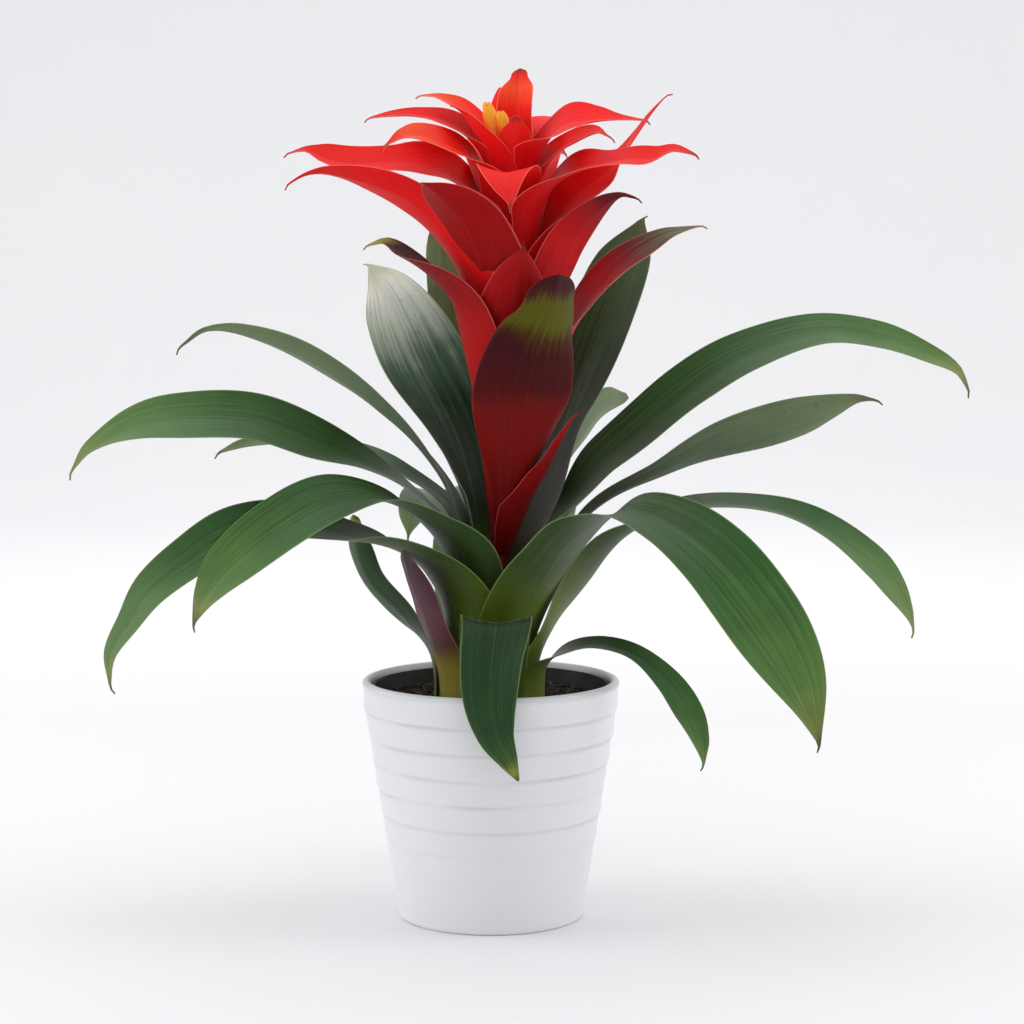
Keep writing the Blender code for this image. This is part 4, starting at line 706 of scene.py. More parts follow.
def glaze_material(settings):
    """White glaze: faint cloudiness, fine dimples, a few tiny specks, and painted shade under each band's
    lip.
    """
    made, tree, shader, place = new_material("white_glaze", 0.34)
    cloud = noise(tree, place, 14.0)
    specks = noise(tree, place, 420.0, 1.0)
    colour = mixed(tree, spread(tree, cloud, 0.3, 0.7, 0.0, 0.5), settings.glaze, srgb(224, 225, 229))
    colour = mixed(tree, spread(tree, specks, 0.80, 0.84, 0.0, 0.5), colour, srgb(150, 146, 140))
    # Painted shade: the glaze is greyed just under each band's lip in place of the shadow there.
    groove = carried(tree, "groove")
    colour = mixed(tree, maths(tree, "MULTIPLY", groove, 0.5), colour, srgb(176, 178, 186))
    tree.links.new(colour, shader.inputs["Base Color"])
    tree.links.new(spread(tree, cloud, 0.3, 0.7, 0.30, 0.42), shader.inputs["Roughness"])
    dimples = maths(tree, "ADD", noise(tree, place, 260.0, 2.0), maths(tree, "MULTIPLY", cloud, 3.0))
    bumped(tree, shader, dimples, 0.0001, 0.5)
    return made


def plastic_material():
    """Dark pot plastic with a fine grain and dusty patches."""
    made, tree, shader, place = new_material("dark_plastic", 0.6)
    dust = noise(tree, place, 60.0, 4.0)
    grain = noise(tree, place, 1400.0, 1.0)
    colour = mixed(tree, spread(tree, dust, 0.4, 0.75, 0.0, 0.5), srgb(22, 23, 24), srgb(52, 50, 47))
    tree.links.new(colour, shader.inputs["Base Color"])
    tree.links.new(spread(tree, dust, 0.3, 0.7, 0.5, 0.8), shader.inputs["Roughness"])
    bumped(tree, shader, grain, 0.0001, 0.4)
    return made


def stem_material():
    """The stalk, green at its foot and red among the bracts."""
    made, tree, shader, place = new_material("stem_skin", 0.5)
    height = put(tree, "ShaderNodeSeparateXYZ", inputs={0: place}).outputs[2]
    long_grain = put(tree, "ShaderNodeMapping", inputs={"Vector": place, "Scale": (900.0, 900.0, 40.0)})
    grain = noise(tree, long_grain.outputs[0], 1.0)
    share = spread(tree, height, SOIL_LEVEL, SOIL_LEVEL + STEM_HEIGHT, 0.0, 1.0)
    colour = ramp(tree, share, [(0.0, (120, 136, 58)), (0.16, (92, 60, 24)), (0.22, (104, 8, 8)),
                                (1.0, (196, 30, 28))])
    colour = mixed(tree, spread(tree, grain, 0.3, 0.7, 0.0, 0.5), colour, (0.6, 0.6, 0.6), "MULTIPLY")
    tree.links.new(colour, shader.inputs["Base Color"])
    bumped(tree, shader, grain, 0.0003, 0.7)
    return made


def soil_material(settings):
    """Damp dark bark mix."""
    made, tree, shader, place = new_material("bark_soil", 0.92)
    lumps = noise(tree, place, 190.0, 5.0, 0.65)
    grit = noise(tree, place, 900.0, 2.0)
    colour = mixed(tree, spread(tree, lumps, 0.42, 0.75, 0.0, 0.7), settings.bark, settings.chip)
    colour = mixed(tree, spread(tree, grit, 0.40, 0.62, 0.0, 0.7), colour, srgb(12, 9, 8))
    tree.links.new(colour, shader.inputs["Base Color"])
    bumped(tree, shader, maths(tree, "ADD", lumps, maths(tree, "MULTIPLY", grit, 0.4)), 0.0016)
    return made


def chip_material(settings):
    """Bark chips, each a little lighter or redder than the next."""
    made, tree, shader, place = new_material("bark_chips", 0.85)
    tint = carried(tree, "tint")
    grain = noise(tree, place, 700.0, 4.0)
    colour = ramp(tree, tint, [
        (0.0, (12, 8, 7)), (0.50, (28, 18, 14)), (0.80, (58, 30, 23)), (1.0, (112, 70, 52))])
    colour = mixed(tree, spread(tree, grain, 0.35, 0.65, 0.0, 0.6), colour, settings.bark)
    tree.links.new(colour, shader.inputs["Base Color"])
    bumped(tree, shader, grain, 0.0006)
    return made


def fibre_material(settings):
    """Dry pale fibres."""
    made, tree, shader, place = new_material("dry_fibres", 0.8)
    grain = noise(tree, place, 500.0)
    colour = mixed(tree, spread(tree, grain, 0.3, 0.7, 0.0, 0.8), settings.fibre, srgb(84, 62, 44))
    tree.links.new(colour, shader.inputs["Base Color"])
    bumped(tree, shader, grain, 0.0001)
    return made


def petal_material(settings):
    """Waxy yellow petals, orange towards the foot."""
    made, tree, shader, place = new_material("flower_petals", 0.4)
    along = carried(tree, "along")
    cloud = noise(tree, place, 420.0)
    share = maths(tree, "ADD", along, maths(tree, "MULTIPLY", maths(tree, "SUBTRACT", cloud, 0.5), 0.3))
    colour = mixed(tree, spread(tree, share, 0.62, 0.86, 0.0, 1.0), settings.foot, settings.petal)
    tree.links.new(colour, shader.inputs["Base Color"])
    shader.inputs["Subsurface Weight"].default_value = 0.15
    shader.inputs["Subsurface Radius"].default_value = (0.002, 0.001, 0.0004)
    shader.inputs["Subsurface Scale"].default_value = 1.0
    bumped(tree, shader, cloud, 0.0002, 0.6)
    return made


def floor_material(settings):
    """Matt paper sweep with a faint cloudiness."""
    made, tree, shader, place = new_material("studio_floor", 0.9)
    cloud = noise(tree, place, 1.2)
    colour = mixed(tree, spread(tree, cloud, 0.3, 0.7, 0.0, 0.4), settings.floor, srgb(232, 232, 236))
    tree.links.new(colour, shader.inputs["Base Color"])
    return made


def new_shape_tree(name, inputs):
    """A geometry tree with named inputs; returns it, its input node and its output node."""
    tree = bpy.data.node_groups.new(name, "GeometryNodeTree")
    face = tree.interface
    face.new_socket("Geometry", in_out="INPUT", socket_type="NodeSocketGeometry")
    face.new_socket("Geometry", in_out="OUTPUT", socket_type="NodeSocketGeometry")
    for label, kind in inputs:
        face.new_socket(label, in_out="INPUT", socket_type="NodeSocket" + kind)
    return tree, tree.nodes.new("NodeGroupInput").outputs, tree.nodes.new("NodeGroupOutput")


def finish_shape_tree(tree, last, finish, output):
    """Ends a geometry tree in real geometry with its material."""
    real = put(tree, "GeometryNodeRealizeInstances", inputs={0: last})
    painted = put(tree, "GeometryNodeSetMaterial", inputs={"Geometry": real.outputs[0], "Material": finish})
    tree.links.new(painted.outputs[0], output.inputs[0])


def run_tree(made, tree, values):
    """Runs a geometry tree on an object and keeps the result as its plain mesh."""
    modifier = made.modifiers.new(tree.name, "NODES")
    modifier.node_group = tree
    for item in tree.interface.items_tree:
        if item.in_out == "INPUT" and item.name in values:
            modifier[item.identifier] = values[item.name]
    bpy.context.view_layer.update()
    shown = made.evaluated_get(bpy.context.evaluated_depsgraph_get())
    result = bpy.data.meshes.new_from_object(shown)
    made.modifiers.remove(modifier)
    plain = made.data
    made.data = result
    result.name = made.name
    bpy.data.meshes.remove(plain)
    return made


def pushed(tree, geometry, offset):
    """The geometry with its points moved by an offset."""
    made = put(tree, "GeometryNodeSetPosition", inputs={"Geometry": geometry, "Offset": offset})
    return made.outputs[0]


def band_tree():
    """The pot's bands: each stands out most at its lower edge, and the lines wander and fade. A painted shade
    line under each lip is stored for the glaze.
    """
    tree, given, output = new_shape_tree("pot_bands", [
        ("Band Pitch", "Float"), ("Band Depth", "Float"), ("Top Line", "Float"), ("Lowest Line", "Float"),
        ("Unevenness", "Float"), ("Fade", "Float"), ("Material", "Material")])
    place = put(tree, "GeometryNodeInputPosition").outputs[0]
    parts = put(tree, "ShaderNodeSeparateXYZ", inputs={0: place}).outputs
    drift = noise(tree, vector_maths(tree, "MULTIPLY", place, (9.0, 9.0, 60.0)), 1.0, 1.0)
    drift = maths(tree, "MULTIPLY", maths(tree, "SUBTRACT", drift, 0.5), given["Unevenness"])
    level = maths(tree, "ADD", parts[2], drift)
    over = maths(tree, "DIVIDE", maths(tree, "SUBTRACT", level, given["Top Line"]), given["Band Pitch"])
    rising = maths(tree, "FRACT", over)
    top_band = maths(tree, "GREATER_THAN", over, 0.0)
    rising = maths(tree, "MAXIMUM", rising, maths(tree, "MULTIPLY", top_band, over))
    lip = maths(tree, "POWER", maths(tree, "SUBTRACT", 1.0, maths(tree, "MINIMUM", rising, 1.0)), 1.5)
    softened = spread(tree, rising, 0.0, 0.07, 0.0, 1.0)
    lip = maths(tree, "MULTIPLY", lip, softened)
    patch = noise(tree, vector_maths(tree, "MULTIPLY", place, (16.0, 16.0, 75.0)), 1.0, 1.0)
    patchy = spread(tree, patch, 0.38, 0.60, 0.0, 1.0)
    kept = maths(tree, "SUBTRACT", 1.0, maths(tree, "MULTIPLY", given["Fade"], patchy))
    bottom = maths(tree, "SUBTRACT", given["Lowest Line"], 0.004)
    fading = spread(tree, level, bottom, maths(tree, "ADD", given["Lowest Line"], 0.024), 0.0, 1.0)
    shown = maths(tree, "MULTIPLY", kept, fading)
    amount = maths(tree, "MULTIPLY", lip, shown)
    # Painted shade: a thin line along each band's lower edge, just under the lip, where a shadow would fall.
    shade_under_lip = maths(tree, "MAXIMUM", spread(tree, rising, 0.84, 1.0, 0.0, 1.0),
                      spread(tree, rising, 0.0, 0.07, 1.0, 0.0))
    shade_under_lip = maths(tree, "MULTIPLY", shade_under_lip, shown)
    banded = put(tree, "GeometryNodeInputNamedAttribute", {"data_type": "FLOAT"}, {"Name": "banded"})
    outside = banded.outputs[0]
    amount = maths(tree, "MULTIPLY", maths(tree, "MULTIPLY", amount, given["Band Depth"]), outside)
    flat = put(tree, "ShaderNodeCombineXYZ", inputs={0: parts[0], 1: parts[1], 2: 0.0})
    outward = put(tree, "ShaderNodeVectorMath", {"operation": "NORMALIZE"}, {0: flat.outputs[0]})
    moved = pushed(tree, given["Geometry"], vector_maths(tree, "SCALE", outward.outputs[0], amount))
    marked = put(tree, "GeometryNodeStoreNamedAttribute", {"data_type": "FLOAT", "domain": "POINT"}, {
        "Geometry": moved, "Name": "groove", "Value": maths(tree, "MULTIPLY", shade_under_lip, outside)})
    finish_shape_tree(tree, marked.outputs[0], given["Material"], output)
    return tree


def scattered(tree, given, thing, size):
    """Instances of a small thing over the upward faces of the soil, turned and sized at random."""
    facing = put(tree, "ShaderNodeSeparateXYZ", inputs={0: put(tree, "GeometryNodeInputNormal").outputs[0]})
    upward = maths(tree, "GREATER_THAN", facing.outputs[2], 0.6)
    points = put(tree, "GeometryNodeDistributePointsOnFaces", inputs={
        "Mesh": given["Geometry"], "Selection": upward, "Density": given["Density"], "Seed": given["Seed"]})
    turn = put(tree, "FunctionNodeRandomValue", {"data_type": "FLOAT_VECTOR"}, {
        0: (-CHIP_TILT, -CHIP_TILT, 0.0), 1: (CHIP_TILT, CHIP_TILT, math.tau), "Seed": given["Seed"]})
    scale = put(tree, "FunctionNodeRandomValue", {"data_type": "FLOAT_VECTOR"}, {
        0: size[0], 1: size[1], "Seed": given["Seed"]})
    made = put(tree, "GeometryNodeInstanceOnPoints", inputs={
        "Points": points.outputs[0], "Instance": thing,
        "Rotation": turn.outputs[0], "Scale": scale.outputs[0]})
    tint = put(tree, "FunctionNodeRandomValue", {"data_type": "FLOAT"}, {
        2: 0.0, 3: 1.0, "Seed": given["Seed"]})
    return put(tree, "GeometryNodeStoreNamedAttribute", {"data_type": "FLOAT", "domain": "INSTANCE"}, {
        "Geometry": made.outputs[0], "Name": "tint", "Value": tint.outputs[1]}).outputs[0]


def ragged(tree, copies, scale, detail, middle, reach):
    """The copies made real, with their points pushed about by a noise."""
    real = put(tree, "GeometryNodeRealizeInstances", inputs={0: copies})
    wave = put(tree, "ShaderNodeTexNoise", inputs={"Scale": scale, "Detail": detail})
    shift = vector_maths(tree, "SUBTRACT", wave.outputs["Color"], middle)
    return pushed(tree, real.outputs[0], vector_maths(tree, "SCALE", shift, reach))


def chip_tree():
    """Rough bark chips over the soil."""
    tree, given, output = new_shape_tree("bark_chips", [
        ("Chip Length", "Float"), ("Density", "Float"), ("Seed", "Int"), ("Material", "Material")])
    lump = put(tree, "GeometryNodeMeshIcoSphere", inputs={
        "Radius": maths(tree, "MULTIPLY", given["Chip Length"], 0.5), "Subdivisions": 1})
    chips = scattered(tree, given, lump.outputs[0], ((0.25, 0.15, 0.10), (1.0, 0.55, 0.38)))
    reach = maths(tree, "MULTIPLY", given["Chip Length"], 0.35)
    jagged = ragged(tree, chips, 900.0, 1.0, (0.5, 0.5, 0.5), reach)
    finish_shape_tree(tree, jagged, given["Material"], output)
    return tree


def fibre_tree():
    """Curled fibres over the soil."""
    tree, given, output = new_shape_tree("soil_fibres", [
        ("Length", "Float"), ("Thickness", "Float"), ("Density", "Float"), ("Seed", "Int"),
        ("Material", "Material")])
    half = maths(tree, "MULTIPLY", given["Length"], 0.5)
    ends = []
    for side in (-1.0, 1.0):
        end = maths(tree, "MULTIPLY", half, side)
        ends.append(put(tree, "ShaderNodeCombineXYZ", inputs={0: end, 1: 0.0, 2: 0.0}))
    crown = put(tree, "ShaderNodeCombineXYZ", inputs={0: 0.0, 1: half, 2: maths(tree, "MULTIPLY", half, 0.6)})
    bow = put(tree, "GeometryNodeCurveQuadraticBezier", inputs={
        "Resolution": 7, "Start": ends[0].outputs[0], "Middle": crown.outputs[0], "End": ends[1].outputs[0]})
    ring = put(tree, "GeometryNodeCurvePrimitiveCircle", inputs={
        "Resolution": 4, "Radius": given["Thickness"]})
    strand = put(tree, "GeometryNodeCurveToMesh", inputs={
        "Curve": bow.outputs[0], "Profile Curve": ring.outputs[0], "Fill Caps": True})
    fibres = scattered(tree, given, strand.outputs[0], ((0.5, 0.3, 0.4), (1.2, 1.2, 1.2)))
    reach = maths(tree, "MULTIPLY", given["Length"], 0.4)
    curled = ragged(tree, fibres, 260.0, 0.0, (0.5, 0.5, 0.4), reach)
    finish_shape_tree(tree, curled, given["Material"], output)
    return tree


# Shapes -----------------------------------------------------------------------------------

def add_piece(name, mesh, finish, node):
    """Adds a finished piece that rides on the part, stands for a node and wears the finish given."""
    made = bpy.data.objects.new(name, mesh)
    bpy.context.scene.collection.objects.link(made)
    if finish:
        mesh.materials.append(finish)
    return settled(made, node)


def settled(made, node):
    """Sets a piece to ride on the part, and hides the node that it stands for."""
    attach(made, "root")
    if node:
        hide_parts(node)
    return made


def smoothstep(value, start, end):
    """0 up to start, 1 from end, and a smooth ramp between."""
    share = min(max((value - start) / (end - start), 0.0), 1.0)
    return share * share * (3 - 2 * share)


def stem_axis(height):
    """The x of the stem's axis at a height above the soil."""
    return STEM_LEAN * smoothstep(height, 0.0, STEM_LEAN_HEIGHT)


def stem_radius(height):
    """The stem's radius at a height above the soil."""
    share = min(max(height / STEM_HEIGHT, 0.0), 1.0)
    return STEM_RADIUS + (STEM_TIP_RADIUS - STEM_RADIUS) * share


def hermite(rows, knots, at):
    """One row of the smooth curve between the middle two of four rows."""
    span = knots[2] - knots[1]
    share = (at - knots[1]) / span
    made = []
    for before, first, second, after in zip(*rows):
        leave = span * (second - before) / (knots[2] - knots[0])
        arrive = span * (after - first) / (knots[3] - knots[1])
        bend = 2 * (first - second) + leave + arrive
        lift = 3 * (second - first) - 2 * leave - arrive
        made.append(first + share * (leave + share * (lift + share * bend)))
    return made


def curve_through(points, count):
    """Reads count rows, evenly apart, from a smooth curve through the points."""
    before_first = [2 * a - b for a, b in zip(points[0], points[1])]
    after_last = [2 * a - b for a, b in zip(points[-1], points[-2])]
    padded = [before_first, *points, after_last]
    knots = [0.0]
    for before, after in zip(padded, padded[1:]):
        knots.append(knots[-1] + math.sqrt(math.dist(before[:2], after[:2])))
    fine = []
    for i in range(1, len(padded) - 2):
        for step in range(CURVE_STEPS):
            at = knots[i] + (knots[i + 1] - knots[i]) * step / CURVE_STEPS
            fine.append(hermite(padded[i - 1:i + 3], knots[i - 1:i + 3], at))
    fine.append(list(points[-1]))
    lengths = [0.0]
    for before, after in zip(fine, fine[1:]):
        lengths.append(lengths[-1] + math.dist(before[:2], after[:2]))
    rows = []
    j = 0
    for i in range(count):
        goal = lengths[-1] * i / (count - 1)
        while j < len(fine) - 2 and lengths[j + 1] < goal:
            j += 1
        share = (goal - lengths[j]) / (lengths[j + 1] - lengths[j])
        rows.append([a + (b - a) * share for a, b in zip(fine[j], fine[j + 1])])
    return rows


def hooked(points, length):
    """The midrib's points with a thin dry hook past the tip, or a half round one past a broad tip."""
    before, tip = points[-2], points[-1]
    step = Vector((tip[0] - before[0], tip[1] - before[1])).normalized()
    made = list(points)
    place = Vector(tip[:2])
    if tip[3] > BROAD_TIP:
        for share, kept in ROUND_END:
            further = place + step * (tip[3] * share)
            made.append((further.x, further.y, tip[2], tip[3] * kept, tip[4]))
        return made
    for turn, share, width in HOOK:
        step = Matrix.Rotation(-math.radians(turn), 2) @ step
        place = place + step * (length * share)
        made.append((place.x, place.y, tip[2], width, tip[4]))
    return made


def blade_mesh(name, number, rows, settings, wraps, opens, lean_kept):
    """A closed blade along rows of (reach, height above the soil, bearing, width, roll)."""
    chance = random.Random(number)
    waves = chance.uniform(*RUFFLE_WAVES)
    phases = (chance.uniform(0, math.tau), chance.uniform(0, math.tau))
    columns = settings.columns
    centres = []
    for reach, up, bearing, _, _ in rows:
        free = smoothstep(reach, *opens)
        lean = stem_axis(up) * (1 + (lean_kept - 1) * free)
        angle = math.radians(bearing)
        centres.append(Vector((lean + reach * math.cos(angle), reach * math.sin(angle), SOIL_LEVEL + up)))
    points = []
    places = []
    under = []
    last = len(rows) - 1
    for i, (reach, _, bearing, width, roll) in enumerate(rows):
        width = max(width, MIN_WIDTH)
        along = (centres[min(i + 1, last)] - centres[max(i - 1, 0)]).normalized()
        angle = math.radians(bearing)
        outward = Vector((math.cos(angle), math.sin(angle), 0))
        across = Vector((-math.sin(angle), math.cos(angle), 0))
        across = (across - along * across.dot(along)).normalized()
        face = along.cross(across)
        wrap_curve = max(-face.dot(outward), 0.0) / reach
        gutter_curve = 2 * GUTTER_ANGLE / width
        free = smoothstep(reach, *opens)
        curve = max(wrap_curve + (gutter_curve - wrap_curve) * free, MIN_CURVE)
        turn = math.radians(roll)
        rolled = across * math.cos(turn) + face * math.sin(turn)
        face = face * math.cos(turn) - across * math.sin(turn)
        wrap = wraps[0] + (wraps[1] - wraps[0]) * smoothstep(reach, WRAP_WIDENS, WRAP_FULL)
        half_angle = min(width / 2 * curve, wrap)
        share = i / last
        room = smoothstep(width, 0.0, RUFFLE_FULL_WIDTH) * smoothstep(share, *RUFFLE_SPAN)
        upper = []
        lower = []
        for column in range(columns + 1):
            side = 2 * column / columns - 1
            theta = half_angle * side
            middle = centres[i] + rolled * (math.sin(theta) / curve)
            middle += face * ((1 - math.cos(theta)) / curve)
            normal = face * math.cos(theta) - rolled * math.sin(theta)
            phase = phases[column * 2 > columns]
            wave = math.sin(waves * math.tau * share + phase) * abs(side) ** 3
            dip = (1 - abs(side)) ** 4
            middle += normal * room * (settings.ruffle * wave - settings.crease * dip)
            half_depth = settings.thickness / 2 * (1 - MARGIN_SHARE * abs(side) ** 3)
            upper.append(middle + normal * half_depth)
            lower.append(middle - normal * half_depth)
            places.append((column / columns, share))
        places.extend((place[0], share) for place in places[-1:-columns - 2:-1])
        points += upper + lower[::-1]
        under += [0.0] * (columns + 1) + [1.0] * (columns + 1)
    around = 2 * (columns + 1)
    faces = []
    for ring in range(last):
        for i in range(around):
            j = (i + 1) % around
            near = ring * around
            far = near + around
            corners = (near + i, near + j, far + j, far + i)
            # Both sides are split along the same diagonal, so a twisted blade keeps its thickness.
            faces.append(corners if i < columns else corners[1:] + corners[:1])
    for start in (0, last * around):
        for i in range(columns):
            cap = (start + i, start + i + 1, start + around - 2 - i, start + around - 1 - i)
            faces.append(cap if start else cap[::-1])
    mesh = bpy.data.meshes.new(name)
    mesh.from_pydata(points, [], faces)
    turned_out = bmesh.new()
    turned_out.from_mesh(mesh)
    bmesh.ops.recalc_face_normals(turned_out, faces=turned_out.faces)
    turned_out.to_mesh(mesh)
    turned_out.free()
    blade = mesh.uv_layers.new(name="blade")
    for corner in mesh.loops:
        blade.data[corner.index].uv = places[corner.vertex_index]
    mesh.attributes.new("underside", "FLOAT", "POINT").data.foreach_set("value", under)
    own = [number * PATTERN_STEP] * len(points)
    mesh.attributes.new("piece", "FLOAT", "POINT").data.foreach_set("value", own)
    mesh.shade_smooth()
    mesh.set_sharp_from_angle(angle=SMOOTH_ANGLE)
    return mesh


def layer_radius(layer):
    """The middle radius of a leaf's sheath."""
    return STEM_RADIUS + FIRST_LAYER_GAP + layer * LEAF_PITCH


def filled_out(rows, fullness, span):
    """The rows with their lower widths made broader by a share that fades out over a span."""
    for i, row in enumerate(rows):
        row[3] *= 1 + fullness * (1 - smoothstep(i / len(rows), *span))
    return rows


def leaf_rows(layer, heading, points, settings):
    """A leaf's sections from its foot in the soil to its tip."""
    foot = layer_radius(layer)
    route = [(foot, FOOT_GAP - WELL_DEPTH, heading, points[0][3], 0.0)]
    for out, up, turn, width, roll in hooked(points, settings.hook):
        route.append((foot + out, up, heading + turn, width, roll))
    return filled_out(curve_through(route, settings.stations), settings.fullness, LEAF_FULL_SPAN)


def rim_leaf_rows(settings):
    """The sections of the leaf that folds over the rim."""
    foot = layer_radius(RIM_LEAF_LAYER)
    heading = RIM_LEAF_HEADING
    route = [(foot, FOOT_GAP - WELL_DEPTH, heading, RIM_LEAF_RISE[0][3], 0.0)]
    for out, up, turn, width in RIM_LEAF_RISE:
        route.append((foot + out, up, heading + turn, width, 0.0))
    for out, up, turn, width in RIM_LEAF_FALL:
        reach = POT_RIM_RADIUS + RIM_LEAF_CLEARANCE + out
        route.append((reach, SOIL_DROP + up, heading + turn, width, 0.0))
    return curve_through(route, settings.stations)


def bract_rows(height, heading, points, settings):
    """A bract's sections from the stem to its tip."""
    route = [(stem_radius(height) + BRACT_GAP, height, heading, BRACT_FOOT_WIDTH, 0.0)]
    for out, up, turn, width, roll in hooked(points, settings.hook):
        route.append((stem_radius(up) + BRACT_GAP + out, up, heading + turn, width, roll))
    return filled_out(curve_through(route, settings.stations), settings.fullness, BRACT_FULL_SPAN)


def finish_for(name, usual, made):
    """The finish of a blade, made the first time that it is asked for."""
    look = BLADE_FINISH.get(name, usual)
    if look not in made:
        made[look] = blade_material(look)
    return made[look]


def turned(name, profile, segments):
    """A closed mesh turned about Z from (radius, z) points that start and end on the axis."""
    points = [(0.0, 0.0, profile[0][1]), (0.0, 0.0, profile[-1][1])]
    for radius, z in profile[1:-1]:
        for i in range(segments):
            angle = math.tau * i / segments
            points.append((radius * math.cos(angle), radius * math.sin(angle), z))
    faces = []
    final = len(points) - segments
    for i in range(segments):
        j = (i + 1) % segments
        faces.append((0, 2 + j, 2 + i))
        faces.append((1, final + i, final + j))
        for start in range(2, final, segments):
            faces.append((start + i, start + j, start + segments + j, start + segments + i))
    mesh = bpy.data.meshes.new(name)
    mesh.from_pydata(points, [], faces)
    mesh.shade_smooth()
    return mesh


def outer_radius(z):
    """The cover pot's outer radius: a straight taper, then a steeper band to the rim."""
    band = POT_HEIGHT - POT_BAND_HEIGHT
    if z < band:
        return POT_BASE_RADIUS + (POT_BAND_RADIUS - POT_BASE_RADIUS) * z / band
    return POT_BAND_RADIUS + (POT_RIM_RADIUS - POT_BAND_RADIUS) * (z - band) / POT_BAND_HEIGHT


def pot_profile():
    """The pot's section, with rows close enough to carry its bands."""
    bevel = POT_FOOT_BEVEL
    profile = [(0, 0), (POT_BASE_RADIUS - bevel * 2, 0)]
    for i in range(BEVEL_STEPS + 1):
        angle = math.pi / 2 * i / BEVEL_STEPS
        profile.append((
            outer_radius(bevel) - bevel + bevel * math.sin(angle), bevel - bevel * math.cos(angle)))
    shoulder = POT_HEIGHT - POT_WALL / 2
    rows = round((shoulder - bevel) / POT_ROW_HEIGHT)
    for i in range(1, rows):
        z = bevel + (shoulder - bevel) * i / rows
        eased = smoothstep(z, bevel, 4 * bevel) * (1 - smoothstep(z, shoulder - bevel, shoulder))
        profile.append((outer_radius(z) - POT_RELIEF_ROOM * eased, z))
    middle = POT_RIM_RADIUS - POT_WALL / 2
    for i in range(RIM_STEPS + 1):
        angle = math.pi * i / RIM_STEPS
        profile.append((middle + POT_WALL / 2 * math.cos(angle), shoulder + POT_WALL / 2 * math.sin(angle)))
    band = POT_HEIGHT - POT_BAND_HEIGHT
    for z in (band, POT_FLOOR):
        profile.append((outer_radius(z) - POT_WALL, z))
    profile.append((0, POT_FLOOR))
    return profile


def soil_profile():
    """The soil's section: an almost flat top over straight sides."""
    edge = outer_radius(SOIL_LEVEL) - POT_WALL - SOIL_SIDE_GAP
    bottom = SOIL_LEVEL - SOIL_DEPTH
    profile = [(0, bottom), (edge - SOIL_SIDE_GAP, bottom), (edge, SOIL_LEVEL - SOIL_SIDE_GAP)]
    for i in range(SOIL_RINGS):
        profile.append((edge * (1 - i / SOIL_RINGS), SOIL_LEVEL))
    profile.append((0, SOIL_LEVEL))
    return profile


def floor_profile():
    """The floor's section: flat, then a sweep up to the height of a wall, over a thin body."""
    edge = FLOOR_REACH + FLOOR_SWEEP
    profile = [(0, -FLOOR_DEPTH), (edge, -FLOOR_DEPTH), (edge, FLOOR_SWEEP)]
    for i in range(SWEEP_STEPS + 1):
        angle = math.pi / 2 * i / SWEEP_STEPS
        out = FLOOR_SWEEP * math.cos(angle) * SWEEP_SHARE
        profile.append((FLOOR_REACH + out, FLOOR_SWEEP - FLOOR_SWEEP * math.sin(angle)))
    return profile + [(FLOOR_REACH, 0.0), (0, 0.0)]


def flower_mesh(name, foot, tip, radius):
    """A closed flower tip: a swelling tube of three folded petals that part at the top."""
    rings = FLOWER_RINGS
    sides = FLOWER_SIDES
    start = Vector(foot) + Vector((STEM_LEAN, 0, SOIL_LEVEL))
    end = Vector(tip) + Vector((STEM_LEAN, 0, SOIL_LEVEL))
    points = []
    along = []
    for i in range(rings + 1):
        share = 1 - (1 - i / rings) ** 1.5
        swell = radius * (0.45 + 0.55 * smoothstep(share, 0.0, 0.8)) * math.sqrt(1 - 0.94 * share ** 14)
        lobes = 0.05 + 0.20 * share ** 3
        for j in range(sides):
            angle = math.tau * j / sides
            petal = math.cos(3 * angle + 1.6 * share)
            reach = swell * (1 + lobes * petal)
            lift = 0.35 * radius * petal * share ** 5
            centre = start.lerp(end, share)
            points.append(centre + Vector((reach * math.cos(angle), reach * math.sin(angle), lift)))
            along.append(share)
    faces = [tuple(range(sides))[::-1]]
    for i in range(rings):
        for j in range(sides):
            k = (j + 1) % sides
            faces.append((i * sides + j, i * sides + k, (i + 1) * sides + k, (i + 1) * sides + j))
    points.append(end - Vector((0, 0, radius * 0.4)))
    along.append(1.0)
    crown = rings * sides
    for j in range(sides):
        faces.append((crown + j, crown + (j + 1) % sides, len(points) - 1))
    mesh = bpy.data.meshes.new(name)
    mesh.from_pydata(points, [], faces)
    mesh.attributes.new("along", "FLOAT", "POINT").data.foreach_set("value", along)
    mesh.shade_smooth()
    mesh.set_sharp_from_angle(angle=SMOOTH_ANGLE)
    return mesh


# Operators --------------------------------------------------------------------------------

class BROMELIAD_OT_pot(bpy.types.Operator):
    """Build the white cover pot with its bands."""

    bl_idname = "bromeliad.pot"
    bl_label = "Cover pot"

    def execute(self, context):
        settings = context.scene.bromeliad_pot
        mesh = turned("cover_pot", pot_profile(), POT_SEGMENTS)
        banded = []
        for vertex in mesh.vertices:
            radius = math.hypot(vertex.co.x, vertex.co.y)
            banded.append(float(radius > outer_radius(vertex.co.z) - POT_WALL / 3))
        mesh.attributes.new("banded", "FLOAT", "POINT").data.foreach_set("value", banded)
        made = bpy.data.objects.new("cover_pot", mesh)
        context.scene.collection.objects.link(made)
        run_tree(made, band_tree(), {
            "Band Pitch": settings.band_pitch, "Band Depth": settings.band_depth,
            "Top Line": settings.top_line, "Lowest Line": settings.low_line,
            "Unevenness": settings.unevenness, "Fade": settings.fade, "Material": glaze_material(settings)})
        settled(made, "pot")
        return {"FINISHED"}


